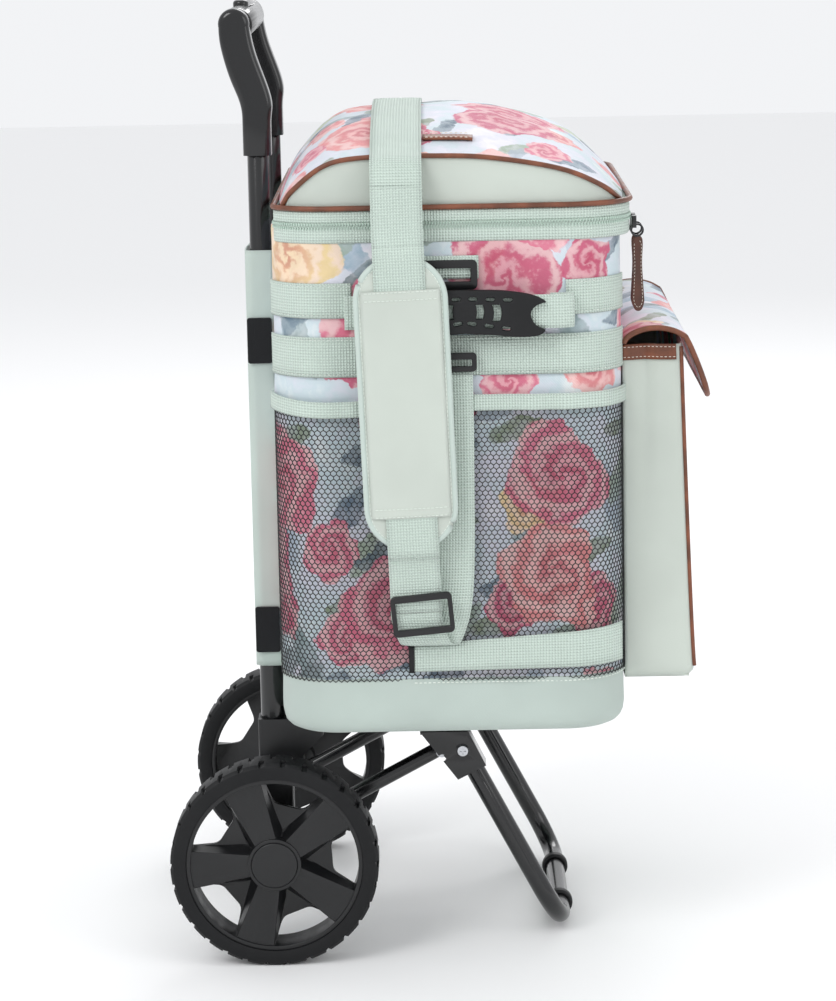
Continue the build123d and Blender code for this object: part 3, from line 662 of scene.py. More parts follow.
body_rows = [(0.0, z) for z in range(222, 566, 6)] + [(0, 566), (-0.3, 569), (-1.5, 570.2), (-4, 570.5),
    (-7.5, 570), (-9.0, 567), (-9.3, 550)]
shell = bag_surface(body_rows, "bag_print", MAT["print_fabric"], "print_fabric", "bag")
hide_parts("bag_shell")
base_rows = [(-120, 185.2), (-100, 185.2), (-60, 185.2), (-30, 185.2), (-14, 185.2), (-9, 185.8),
    (-5, 187.6), (-2.2, 190.5), (-0.6, 194), (0.4, 199)]
base_rows += [(0.6, z) for z in range(203, 227, 4)] + [(0.7, 227), (0.7, 228.6), (0.1, 229.2), (-0.6, 229)]
base = bag_surface(base_rows, "base_cloth", MAT["mint_fabric"], "mint_fabric", "bag", wrinkle=1.1)
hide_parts("base_panel")
liner_rows = [(-9.6 - 2.2 * math.exp(-((z - 566) / 9) ** 2), z) for z in range(566, 206, -8)]
liner_rows += [(-10.4, 203), (-13, 198.6), (-18, 196.4), (-30, 195.8), (-60, 195.6), (-100, 195.8),
    (-125, 195.6)]
lining = bag_surface(liner_rows, "lining_cloth", MAT["lining"], "lining", "bag", wrinkle=2.4)
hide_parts("liner")
base_seam = [P(*outline(PERIM * k / 240, 1.25)[:2], 225.8) for k in range(-6, 240 - 52)]
stitches("base_stitch_0", base_seam, Vector((0, 0, 1)), "bag", mat=LIGHT_THREAD, size=(1.2, 0.25, 0.4))


def strip(name, s0, s1, z0, z1, d, mat, slot, body, thick=1.2, n=60, rows=4, lift=None):
    """A flat band that follows the bag's outline from s0 to s1."""
    lo = z0 if callable(z0) else (lambda f: z0)
    hi = z1 if callable(z1) else (lambda f: z1)

    def fn(i, j):
        s = s0 + (s1 - s0) * i
        dd = d + (lift(i, j) if lift else 0)
        x, y, _, _ = outline(s, dd)
        return P(x, y, lo(i) + (hi(i) - lo(i)) * j)

    return grid(name, fn, n, rows, mat, slot, body, uv=lambda i,
        j: ((s1 - s0) * i / 1000, (hi(i) - lo(i)) * j / 1000),
                thick=thick)


def mirror_s(s, side):
    """The same place on the right (-1) or left (+1) side of the bag."""
    return s if side < 0 else PERIM / 2 - s


bands = []
for side, tag in ((-1, "right"), (1, "left")):
    for nm, s0, s1, z0, z1 in (("upper_back", -148, -70, 503, 529), ("upper_front", 88, 150, 503, 529),
            ("lower", -148, 150, 459, 489)):
        a, b2 = sorted((mirror_s(s0, side), mirror_s(s1, side)))
        o = strip(f"band_{nm}_{tag}", a, b2, z0, z1, 0.5, MAT["mint_webbing"], "mint_webbing", "bag",
            thick=1.3,
                  n=70 if nm == "lower" else 24)
        bands.append(o)
        for zz in (z0 + 2.2, z1 - 2.2):
            pts = [P(*outline(a + (b2 - a) * k / 60, 1.9)[:2], zz) for k in range(61)]
            stitches(f"st_{nm}_{tag}_{int(zz)}", pts, Vector((0, side, 0)), "bag", size=(1.2, 0.25, 0.3),
                mat=LIGHT_THREAD)


# ------------------------------------------------------------ net pockets
def net_lift(f, z):
    """How far the net stands off the bag: seamed at its edges and folded by its elastic."""
    edge = min(1, 8 * f * (1 - f)) * min(1, (z - 226) / 30)
    fold = 0
    for c, w, amp in ((0.27, 0.022, 1.9), (0.33, 0.014, 1.3), (0.70, 0.02, 1.7), (0.78, 0.016, 1.2),
            (0.88, 0.02, 0.9)):
        fold += amp * math.exp(-((f - c) / (w * (1 + (z - 226) / 420))) ** 2)
    return 1.0 + 2.4 * edge + edge * fold * 1.5 + edge * wave(f * 9, z * 0.02, 3.3, 1.0, 0.9)


NET_A, NET_B, NET_LO, NET_HI = -150.0, 152.0, 227.0, 436.0


def net(side, tag):
    px, pz, thread = 4.25, 3.35, 0.30
    cols, rows = int((NET_B - NET_A) / px), int((NET_HI - NET_LO) / pz)
    verts, faces, index = [], [], {}

    def place(s, z):
        s, z = min(max(s, NET_A), NET_B), min(max(z, NET_LO), NET_HI)
        key = (round(s, 2), round(z, 2))
        if key not in index:
            f = (s - NET_A) / (NET_B - NET_A)
            x, y, _, _ = outline(mirror_s(s, side), net_lift(f, z))
            index[key] = len(verts)
            verts.append(P(x, y, z))
        return index[key]

    hexagon = ((0.5, 0.2), (0.0, 0.62), (-0.5, 0.2), (-0.5, -0.42), (0.0, -0.84), (0.5, -0.42))
    for r in range(rows + 1):
        for c in range(cols + 1):
            cx = NET_A + (c + 0.5 * (r % 2)) * px
            cz = NET_LO + r * pz
            outer = [place(cx + hx * px, cz + hz * pz * 1.19) for hx, hz in hexagon]
            inner = [place(cx + hx * (px - 2 * thread),
                cz - 0.12 * pz + (hz + 0.12) * (pz * 1.19 - 1.7 * thread)) for hx, hz in hexagon]
            for k in range(6):
                q = (outer[k], outer[(k + 1) % 6], inner[(k + 1) % 6], inner[k])
                if len(set(q)) == 4:
                    faces.append(q)
    o = obj_from(f"net_{tag}", verts, faces, MAT["mesh"], "mesh", "bag", [(v.x, v.z) for v in verts])
    outward(o)
    s = o.modifiers.new("thick", "SOLIDIFY")
    s.thickness = 0.0005
    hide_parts(f"mesh_pocket_{tag}")
    return o


for side, tag in ((-1, "right"), (1, "left")):
    net(side, tag)

    def dip(f):
        return 4.0 * math.exp(-((f - 0.2) / 0.14) ** 2)

    a, b2 = mirror_s(NET_A, side), mirror_s(NET_B, side)
    lift = lambda i, j: net_lift(i, 434) + 0.4
    o = strip(f"binding_{tag}", a, b2, lambda f: 433 - dip(f), lambda f: 445 - dip(f), 0.0,
        MAT["mint_webbing"], "mint_webbing", "bag",
              thick=2.2, n=150, rows=4, lift=lift)
    outward(o)
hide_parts("pocket_bindings")

# ------------------------------------------------------------ zip round the rim


def rim_point(k, n, d, z):
    x, y, nx, ny = outline(PERIM * (k / n - 0.25), d)
    x = max(x + max(0.0, (x - 120) / 150) ** 3 * 5.0, 13.4 - d * 0.55)
    return P(x, y, z), Vector((nx, ny, 0))


def ring(name, rows, mat, slot, body, n=260):
    verts, uvs, faces = [], [], []
    run = 0
    for j, (d, z) in enumerate(rows):
        run += math.hypot(d - rows[j - 1][0], z - rows[j - 1][1]) if j else 0
        for i in range(n + 1):
            p, _ = rim_point(i, n, d, z)
            verts.append(p)
            uvs.append((PERIM * i / n / 1000, run / 1000))
    for j in range(len(rows) - 1):
        for i in range(n):
            a = j * (n + 1) + i
            faces.append((a, a + 1, a + n + 2, a + n + 1))
    return obj_from(name, verts, faces, mat, slot, body, uvs)


zl = ring("zip_tape_lower",
    [(-1, 558.0), (1.0, 558.5), (1.9, 560), (2.2, 563), (2.1, 567), (1.4, 570.4), (-3, 570.9)],
          MAT["mint_webbing"], "mint_webbing", "bag")
zu = ring("zip_tape_upper", [(-8, 571.6), (1.2, 571.8), (2.0, 575), (2.2, 579), (1.8, 582.6), (-3, 583)],
          MAT["mint_webbing"], "mint_webbing", None)
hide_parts("zip_lower")
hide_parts("zip_upper")
ring("zip_seat", [(1.2, 567.5), (1.9, 568.5), (1.9, 573.2), (1.2, 574.2)], MAT["mint_webbing"],
    "mint_webbing", "bag")
TEETH_MAT = hard("zip_teeth", (186, 206, 194), 0.45, grain=2500)
teeth_lo, teeth_hi, teeth_fixed = [], [], []
TEETH = 560
for k in range(TEETH):
    p, nn = rim_point(k, TEETH, 2.5, 569.6)
    q, _ = rim_point(k + 0.5, TEETH, 2.5, 572.4)
    t = Vector((-nn.y, nn.x, 0))
    teeth_lo.append((p, t, Vector((0, 0, 1)), (0.55, 1.0, 0.6)))
    (teeth_hi if q.x > AXLE + 0.0305 else teeth_fixed).append((q, t, Vector((0, 0, 1)), (0.62, 1.2, 0.7)))
beads("zip_teeth_lower", teeth_lo, TEETH_MAT, "mint_webbing", "bag")
beads("zip_teeth_upper", teeth_hi, TEETH_MAT, "mint_webbing", "lid")
beads("zip_teeth_back", teeth_fixed, TEETH_MAT, "mint_webbing", "bag")
rim_piping = tube("rim_piping", [rim_point(k, 240, 2.6, 584.2)[0] for k in range(240)], 2.0, MAT["leather"],
    "leather", None, closed=True)

# ------------------------------------------------------------ lid
EDGE = smooth_path([(19, 0, 584), (28, 0, 597), (54, 0, 616), (90, 0, 621), (130, 0, 621), (172, 0, 619),
    (224, 0, 610), (254, 0, 597), (270, 0, 584)])
CROWN = smooth_path([(12, 0, 584), (27, 0, 613), (59, 0, 640), (106, 0, 646), (169, 0, 645.5),
    (231, 0, 627), (262, 0, 602), (277, 0, 584)])
NU, NV = 110, 90
EDGE_P, CROWN_P = resample(EDGE, NU), resample(CROWN, NU)


def half_at(x):
    """Half the lid's width at X, which narrows round the bag's corners."""
    dx = max(0.0, BACK + CORNER - x, x - (FRONT - CORNER + 4))
    return 184.6 - CORNER + math.sqrt(max(0.0, CORNER ** 2 - min(dx, CORNER - 2) ** 2))


def lid_point(i, j, drop=0.0):
    y = (j * 2 - 1) * (half_at(EDGE_P[min(NU, max(0, round(i * NU)))].x) - 0.1)
    f = 1 - abs(j * 2 - 1) ** 2.3
    k = min(NU, max(0, round(i * NU)))
    p = EDGE_P[k].lerp(CROWN_P[k], f)
    w = wave(p.x * 0.02, y * 0.02, 1.7, 1.0, 1.6) + wave(p.x * 0.07, y * 0.05, 5.1, 1.0, 0.5)
    amp = min(1, 6 * i * (1 - i)) * min(1, 10 * j * (1 - j))
    return P(p.x, y, max(583.5, p.z + w * amp - drop))


lid = grid("lid_print", lid_point, NU, NV, MAT["print_fabric"], "print_fabric", None,
           uv=lambda i, j: (0.9 + (j * 2 - 1) * 0.184, 0.5 + i * 0.33))
inner = grid("lid_lining", lambda i, j: lid_point(i, 0.02 + 0.96 * j, 6.5), 60, 50, MAT["lining"], "lining",
    None,
             uv=lambda i, j: (j * 0.36, i * 0.3))
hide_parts("lid_dome", "lid_back")
soft_lid = [lid, inner, zu, rim_piping]
for side, tag in ((-1, "right"), (1, "left")):
    def gusset(i, j):
        k = round(i * NU)
        e = EDGE_P[k]
        z = 583.5 + (e.z - 583.5) * j
        bulge = 2.2 * math.sin(math.pi * min(1, max(0, i))) * math.sin(math.pi * j)
        return P(e.x, side * (half_at(e.x) + bulge + wave(i * 4, j * 2, side, 1.0, 0.7) * j * (1 - j) * 3),
            z)

    soft_lid.append(grid(f"gusset_{tag}", gusset, NU, 12, MAT["pale_fabric"], "pale_fabric", None,
                         uv=lambda i, j: (i * 0.25, j * 0.04)))
    arch = [P(p.x, side * (half_at(p.x) + 1.0), p.z + 0.6) for p in EDGE_P]
    soft_lid.append(tube(f"arch_piping_{tag}", arch, 1.9, MAT["leather"], "leather", None))
for o in soft_lid:
    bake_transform(o)


def lid_z(x, y):
    """Height of the lid's cloth over a point."""
    f = 1 - abs(y / 184.5) ** 2.3
    best = min(range(NU + 1), key=lambda k: abs(EDGE_P[k].lerp(CROWN_P[k], f).x - x))
    return EDGE_P[best].lerp(CROWN_P[best], f).z


# leather strap end on the lid
loop_pts = [P(x, -150, lid_z(x, -150) + 1.6) for x in (124, 132, 141, 150, 161)]
lid_tab = ribbon("lid_tab", smooth_path(loop_pts), Vector((0, 1, 0.16)), 13, 2.6, MAT["leather"], "leather",
    "lid", n=20)
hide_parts("lid_loop")
for dy in (-5, 5):
    pts = [P(x, -150 + dy, lid_z(x, -150 + dy) + 3.2) for x in range(125, 161, 3)]
    stitches(f"tab_stitch_{dy + 9}", pts, Vector((0, 0, 1)), "lid", slot="leather", size=(1.1, 0.3, 0.3))

# ------------------------------------------------------------ front pocket
PH, PZ0, PZ1 = 147.0, 217.0, 474.0


def pocket_front(z):
    return 325 - 9 * max(0.0, (z - 226) / 248) ** 0.8


def pocket_line(z, inset=0.0):
    """The pocket's wall in plan, from the bag round the right, front and left sides."""
    xf = pocket_front(z) - inset
    h = PH - inset
    up = max(0.0, (z - 300) / 174)
    pleat = 5.5 * up ** 1.5
    pts = [(271, -h), (279, -h + pleat * 0.35), (288, -h + pleat), (297, -h + pleat * 0.3), (306, -h),
        (xf - 5, -h), (xf - 1.2, -h + 1.5), (xf, -h + 6)]
    pts += [(xf + 1.6 * math.sin(math.pi * k / 12), -h + 6 + (2 * h - 12) * k / 12) for k in range(1, 12)]
    back = [(x, -y) for x, y in pts[:8][::-1]]
    return pts + back


def pocket_wall(i, j):
    z = PZ0 + (PZ1 - PZ0) * j
    low = max(0.0, 1 - (z - PZ0) / 10)
    line = resample([Vector((x, y, 0)) for x, y in pocket_line(z, 5 * low ** 2)], 150)
    q = line[min(150, round(i * 150))]
    w = wave(q.x * 0.03, q.y * 0.02, z * 0.02, 1.0, 1.3) * math.sin(math.pi * min(1, i)) * min(1, j * 6)
    nx = 1 if abs(q.y) < PH - 8 else 0
    return P(max(271.0, q.x + w * nx), q.y + (0 if nx else math.copysign(min(0, w), q.y) * 0.6), z)


def pocket_mat(i, j):
    return 0 if 0.135 < i < 0.865 else 1


pocket = grid("pocket_wall", pocket_wall, 150, 52, [MAT["print_fabric"], MAT["pale_fabric"]],
    "print_fabric", "bag",
              uv=lambda i, j: (2.0 + i * 0.4, j * 0.257), thick=1.6, side=-1, fmat=pocket_mat)
outward(pocket)
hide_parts("front_pocket")
grid("pocket_floor", lambda i, j: P(271 + 49 * i, (j * 2 - 1) * 143, 217.3 + 1.5 * math.sin(math.pi * i)),
    10, 20, MAT["pale_fabric"], "pale_fabric",
     "bag", uv=lambda i, j: (i * 0.05, j * 0.29), thick=1.2)
grid("pocket_back", lambda i, j: P(271.2 + 0.4 * math.sin(8 * j), (i * 2 - 1) * 146, 219 + 249 * j), 20, 20,
    MAT["pale_fabric"], "pale_fabric",
     "bag", uv=lambda i, j: (i * 0.29, j * 0.25), thick=0.6)
for side, tag in ((-1, "right"), (1, "left")):
    tube(f"pocket_piping_{tag}",
        [P(pocket_front(z) - 1.0, side * (PH - 1.2), z) for z in range(226, 474, 6)], 1.5, MAT["leather"],
        "leather", "bag")

    def trim(i, j):
        z = 462.5 + 11.8 * j
        q = resample([Vector((x, y, 0)) for x, y in pocket_line(z)[:6]], 40)[round(i * 40)]
        return P(q.x, side * (-q.y + 0.9), z)

    t = grid(f"pocket_trim_{tag}", trim, 40, 4, MAT["leather"], "leather", "bag", thick=1.2, side=0)
    for zz in (464.6, 472.2):
        pts = [P(q.x, side * (-q.y + 1.7), zz)
            for q in resample([Vector((x, y, 0)) for x, y in pocket_line(zz)[:6]], 40)]
        stitches(f"trim_stitch_{tag}_{int(zz)}", pts, Vector((0, side, 0)), "bag", slot="leather",
            pitch=3.0, size=(0.95, 0.25, 0.25))

# ------------------------------------------------------------ flap
TOP_LINE = smooth_path([(271.6, 0, 475.4), (274, 0, 479.4), (280, 0, 483.4), (290, 0, 486.4),
    (300, 0, 486.6), (310, 0, 484.2), (318.4, 0, 479.6)])
LOW_LINE = smooth_path([(318.0, 0, 480.0), (322.4, 0, 471), (328.4, 0, 456), (332.5, 0, 444),
    (335.6, 0, 433.6)])


def flap_sheet(name, line, body, tail):
    pts = resample(line, 24)

    def fn(i, j):
        p = pts[round(j * 24)]
        half = 149.0
        if tail:
            half -= 16 * max(0.0, (j - 0.72) / 0.28) ** 2.4
        y = (i * 2 - 1) * half
        sag = wave(y * 0.02, j * 2, 4.4, 1.0, 1.4) * (1 - 0.6 * tail)
        return P(p.x, y, p.z + (sag if abs(i * 2 - 1) < 0.98 else 0))

    o = grid(name, fn, 80, 24, [MAT["print_fabric"]], "print_fabric", body, uv=lambda i,
        j: (3 + i * 0.3, j * 0.05 + tail * 0.05),
             thick=2.2, side=0)
    ring_pts = [fn(0, k / 24) for k in range(25)]
    if tail:
        ring_pts += [fn(k / 40, 1) for k in range(1, 41)]
        ring_pts += [fn(1, 1 - k / 24) for k in range(1, 25)]
        tube(f"{name}_edge", ring_pts, 2.2, MAT["leather"], "leather", body)
    else:
        tube(f"{name}_edge_right", ring_pts, 2.2, MAT["leather"], "leather", body)
        tube(f"{name}_edge_left", [fn(1, k / 24) for k in range(25)], 2.2, MAT["leather"], "leather", body)
    return o


flap_top = flap_sheet("flap_top_cloth", TOP_LINE, "flap", 0)
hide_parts("flap_top")
flap_front = flap_sheet("flap_front_cloth", LOW_LINE, "flap_edge", 1)
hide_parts("flap_front")

# ------------------------------------------------------------ rear sleeve
def sleeve(i, j):
    z = 225 + 322 * j
    pts = [(8.6, -117), (2, -117.3), (-8, -117), (-12.4, -113), (-12.8, -100), (-12.8, 100), (-12.4, 113),
        (-8, 117), (2, 117.3), (8.6, 117)]
    q = resample([Vector((x, y, 0)) for x, y in pts], 120)[round(i * 120)]
    dent = 1.8 * max(0.0,
        1 - (abs(q.y) / 88) ** 4) * (0.6 + wave(q.y * 0.02, z * 0.012, 2.0, 1.0,
        0.8)) if abs(q.y) < 88 else 0
    return P(q.x + dent, q.y, z)


sl = grid("sleeve_cloth", sleeve, 120, 60, MAT["mint_fabric"], "mint_fabric", "bag", uv=lambda i,
    j: (i * 0.28, j * 0.32), thick=1.2, side=-1)
outward(sl)
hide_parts("rear_sleeve")
for side, tag in ((-1, "right"), (1, "left")):
    for z0, z1 in ((461, 496), (236, 272)):
        patch = slab(f"patch_{tag}_{z0}", round_outline(19, z1 - z0, 2),
            (P(-2.5, side * 118.3, (z0 + z1) / 2), Vector((1, 0, 0)), Vector((0, 0, 1))),
                     1.8, HOOK_TAPE, "bag", bevel=0.4)

# ------------------------------------------------------------ shoulder strap
XW = Vector((1, 0, 0))
lean = math.radians(1.8)
down = Vector((math.sin(lean), 0, -math.cos(lean)))
side_dir = Vector((math.cos(lean), 0, math.sin(lean)))
pad_mid = P(108.2, 0, 441.5)


def on_strap(y, along):
    """A point of the hanging strap, so far below the pad's middle."""
    q = pad_mid + down * (along / 1000)
    return Vector((q.x, y / 1000, q.z))


over = [P(104, y, z) for y,
    z in ((-203.9, 600), (-203.4, 606), (-201, 614), (-194, 620.5), (-180, 625), (-150, 634), (-110, 642),
    (-75, 646.5),
                                  (-38, 649), (0, 649.8), (38, 649), (75, 646.5), (110, 642), (150, 634),
    (180, 625), (194, 620.5), (201, 614), (203.4, 606), (203.9, 600))]
over_top = ribbon("strap_over", smooth_path(over), XW, 38, 1.5, MAT["mint_webbing"], "mint_webbing", "lid",
    n=90)
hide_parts("strap_top")
near = [Vector((P(104, 0, 0).x, -0.2039, 0.6015)), on_strap(-204.6, -130), on_strap(-208, -114),
    on_strap(-211.2, -106), on_strap(-211.4, 0),
        on_strap(-211.2, 106), on_strap(-208, 115), on_strap(-204.6, 130), on_strap(-203.6, 158)]
run1 = ribbon("strap_hang", smooth_path(near), side_dir, 38, 1.5, MAT["mint_webbing"], "mint_webbing",
    "bag", n=60)
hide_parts("strap_right")
turn_pts = [on_strap(-203.6, 150), on_strap(-202.6, 164), P(118, -199.6, 262), P(121, -196.5, 258),
    P(128, -194, 261), P(137, -193, 300), P(139, -192.6, 400), P(139, -192.6, 462)]
ribbon("strap_return", smooth_path(turn_pts), XW, 38, 1.4, MAT["mint_webbing"], "mint_webbing", "bag", n=70)
far = [P(104, 203.9, 601.5), P(106, 203.6, 590), P(108, 202, 560), P(108, 199, 545)]
run2 = ribbon("strap_far_end", smooth_path(far), XW, 38, 1.5, MAT["mint_webbing"], "mint_webbing", "bag",
    n=20)
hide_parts("strap_left")

# padded sleeve on the strap
PW, PL = 66.5, 216.0


def pad_face(side):
    def fn(i, j):
        u, v = i * 2 - 1, j * 2 - 1
        r = 30
        a, b2 = u * PW / 2, v * PL / 2
        cy = PL / 2 - r
        if abs(b2) > cy:
            k = math.sqrt(max(0, 1 - ((abs(b2) - cy) / r) ** 2))
            a *= (PW / 2 - r + r * k) / (PW / 2)
        edge = (1 - abs(u) ** 5) * (1 - abs(v) ** 14)
        puff = 2.6 * edge ** 0.6 + wave(u * 1.5, v * 5, 9.0, 1.0, 0.9) * edge
        mid = Vector((0, (-208.1 + (-puff if side < 0 else puff * 0.7)) / 1000, 0))
        return Vector((pad_mid.x, 0, pad_mid.z)) + side_dir * (a / 1000) - down * (b2 / 1000) + mid
    return fn


for side, tag in ((-1, "face"), (1, "lining")):
    o = grid(f"pad_{tag}", pad_face(side), 40, 100, MAT["pale_fabric"], "pale_fabric", "bag",
             uv=lambda i, j: (i * PW / 1000, j * PL / 1000), thick=0.5, side=0)
    if side < 0:
        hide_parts("shoulder_pad")
edge_pts = [Vector((pad_mid.x, -0.2081, pad_mid.z)) + side_dir * (a / 1000) - down * (b2 / 1000)
            for a, b2 in round_outline(PW - 1.5, PL - 1.5, 30, 10)]
edge_pts = resample(edge_pts + [edge_pts[0]], 140)[:-1]
tube("pad_binding", edge_pts, 2.4, MAT["mint_fabric"], "mint_fabric", "bag", closed=True)
def pad_cover(i, j):
    u, v = i * 2 - 1, j * 2 - 1
    puff = (1 - abs(u) ** 4) * 2.0 + wave(u * 2, v * 4, 3.3, 1.0, 0.5)
    q = Vector((pad_mid.x, 0, pad_mid.z)) + side_dir * (u * 0.0292) - down * (v * 0.0845)
    return q + Vector((0, (-210.9 - puff) / 1000, 0))


grid("pad_cover", pad_cover, 24, 70, MAT["pale_fabric"], "pale_fabric", "bag", uv=lambda i,
    j: (0.3 + i * 0.058, j * 0.169), thick=0.7, side=0)
for v in (-1, -0.93, 0.93, 1):
    pts = [pad_cover(0.04 + 0.92 * k / 20, v / 2 * 0.985 + 0.5) + Vector((0, -0.0006, 0))
        for k in range(21)]
    stitches(f"pad_seam_{int(v * 100 + 100)}", pts, Vector((0, -1, 0)), "bag", mat=LIGHT_THREAD,
        slot="pale_fabric", pitch=3.0)
for ww, ll, y in ((PW - 6, PL - 7, -210.0),):
    loop = [Vector((pad_mid.x, y / 1000, pad_mid.z)) + side_dir * (a / 1000) - down * (b2 / 1000)
            for a, b2 in round_outline(ww, ll, 26 if ww > 50 else 3, 8)]
    stitches(f"pad_stitch_{int(ww)}", loop + [loop[0]], Vector((0, -1, 0)), "bag", mat=LIGHT_THREAD,
        slot="pale_fabric", pitch=3.2)

# webbing tabs behind the rings
for side, tag in ((-1, "right"), (1, "left")):
    strip(f"ring_tab_{tag}", *sorted((mirror_s(-20, side), mirror_s(24, side))), 531, 548, 0.8,
        MAT["mint_webbing"], "mint_webbing", "bag", thick=1.6, n=12)
ring_tab = strip("low_strap", -30.5, 130, lambda f: 235.5 + 2 * f, lambda f: 256 + 11 * f, 5.2,
    MAT["mint_webbing"], "mint_webbing", "bag", thick=1.3, n=60)
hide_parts("webbing_bands")
strip("low_strap_end", -33, -29, 235, 257, 5.5, MAT["black_rubber"], "black_rubber", "bag", thick=2.0, n=3)

# ------------------------------------------------------------ carry handles
GRIP_MID = 0.6


def handle_outline():
    """Side view of the moulded grip: a bar forked at both ends."""
    half = [(0.6, 17.0), (24, 16.6), (40.5, 14.8), (50.8, 12.5), (57, 9.9), (60.3, 7.4), (58, 6.8),
        (52.6, 4.4), (49.3, 0), (50.2, -6.0),
            (54, -10.6), (59.6, -13.4), (57.2, -16.2), (52.8, -17.8), (44.6, -18.4), (35, -18.0),
        (20, -16.4), (0.6, -15.2)]
    near = smooth_path([(a, b2, 0) for a, b2 in half], 4)
    far = [Vector((2 * GRIP_MID - v.x, v.y, 0)) for v in near[::-1]]
    return [(v.x, v.y) for v in near + far[1:-1]]


def inset(loop, d):
    """The closed outline moved d to its left."""
    n = len(loop)
    out = []
    for k in range(n):
        (x0, y0), (x1, y1) = loop[k - 1], loop[(k + 1) % n]
        size = math.hypot(x1 - x0, y1 - y0) or 1.0
        out.append((loop[k][0] - (y1 - y0) / size * d, loop[k][1] + (x1 - x0) / size * d))
    return out


def inside(loops, x, y):
    hit = False
    for loop in loops:
        for (x0, y0), (x1, y1) in zip(loop, loop[1:] + loop[:1]):
            if (y0 > y) != (y1 > y) and x < x0 + (y - y0) / (y1 - y0) * (x1 - x0):
                hit = not hit
    return hit


def counter_clockwise(loop):
    area2 = sum(x0 * y1 - x1 * y0 for (x0, y0), (x1, y1) in zip(loop, loop[1:] + loop[:1]))
    return loop if area2 > 0 else loop[::-1]


def holed_plate(name, rim_line, holes, plane, thick, mat, slot, body, bevel=0.7, dimples=()):
    """A moulded plate with rounded rims outside and in each hole, and dimpled faces."""
    loops = [counter_clockwise(rim_line)] + [counter_clockwise(h)[::-1] for h in holes]
    org, ax, ay = plane
    az = ax.cross(ay)
    rows = [(bevel, thick / 2), (bevel * 0.3, thick / 2 - bevel * 0.3), (0.0, thick / 2 - bevel)]
    rows += [(d, -h) for d, h in rows[::-1]]
    verts, faces = [], []
    starts = []
    for loop in loops:
        starts.append(len(verts))
        n = len(loop)
        for d, h in rows:
            verts += [(a, b2, h) for a, b2 in inset(loop, d)]
        for j in range(len(rows) - 1):
            for k in range(n):
                p = starts[-1] + j * n + k
                q = starts[-1] + j * n + (k + 1) % n
                faces.append((p, p + n, q + n, q))
    flat_loops = [inset(loop, bevel) for loop in loops]
    points, edges, index = [], [], []
    for loop, start in zip(flat_loops, starts):
        base_k = len(points)
        points += [Vector(p) for p in loop]
        index += [start + k for k in range(len(loop))]
        edges += [(base_k + k, base_k + (k + 1) % len(loop)) for k in range(len(loop))]
    fixed = len(points)
    for gx in range(-58, 60, 2):
        for gy in range(-18, 18, 2):
            if inside(flat_loops, gx,
                    gy) and min((Vector((gx, gy)) - p).length for p in points[:fixed]) > 1.1:
                points.append(Vector((gx, gy)))
    cdt_points, _, triangles, origins, _, _ = delaunay_2d_cdt(points, edges, [], 0, 1e-6)
    for sign, step in ((1, 0), (-1, len(rows) - 1)):
        ids = []
        for co, orig in zip(cdt_points, origins):
            first = orig[0] if orig else fixed
            if first < fixed:
                which = max(k for k in range(len(starts)) if starts[k] <= index[first])
                ids.append(index[first] + step * len(loops[which]))
            else:
                sink = sum(depth * max(0.0, 1 - ((co.x - cx) / rx) ** 2 - ((co.y - cy) / ry) ** 2) for cx,
                    cy, rx, ry, depth in dimples)
                ids.append(len(verts))
                verts.append((co.x, co.y, sign * (thick / 2 - sink)))
        for tri in triangles:
            cx, cy = (sum(cdt_points[t][c] for t in tri) / 3 for c in (0, 1))
            if inside(flat_loops, cx, cy):
                face = tuple(ids[t] for t in tri)
                faces.append(face if sign > 0 else face[::-1])
    placed = [org + (ax * a + ay * b2 + az * c) / 1000 for a, b2, c in verts]
    o = obj_from(name, placed, faces, mat, slot, body, [(a / 1000, b2 / 1000) for a, b2, _ in verts])
    outward(o)
    o.data.set_sharp_from_angle(angle=math.radians(50))
    return o


def crescent(cx, cy, w, h, bow):
    """A window between two arcs that both bulge towards +X."""
    right = [(cx + w / 2 + bow * (1 - (k / 5) ** 2), cy + h / 2 * k / 5) for k in range(-5, 6)]
    left = [(cx - w / 2 + bow * (1 - (k / 5) ** 2), cy + h / 2 * k / 5) for k in range(5, -6, -1)]
    return right + left


def both_ends(items):
    """The items of the grip's front half and their mirror images."""
    return items + [[(2 * GRIP_MID - a, b2) for a, b2 in item] for item in items]


def slot_hole(cx, cy, w, h, a=0.0):
    return [(cx + x * math.cos(a) - y * math.sin(a), cy + x * math.sin(a) + y * math.cos(a))
            for x, y in round_outline(w, h, h / 2 - 0.05, 5)][::-1]


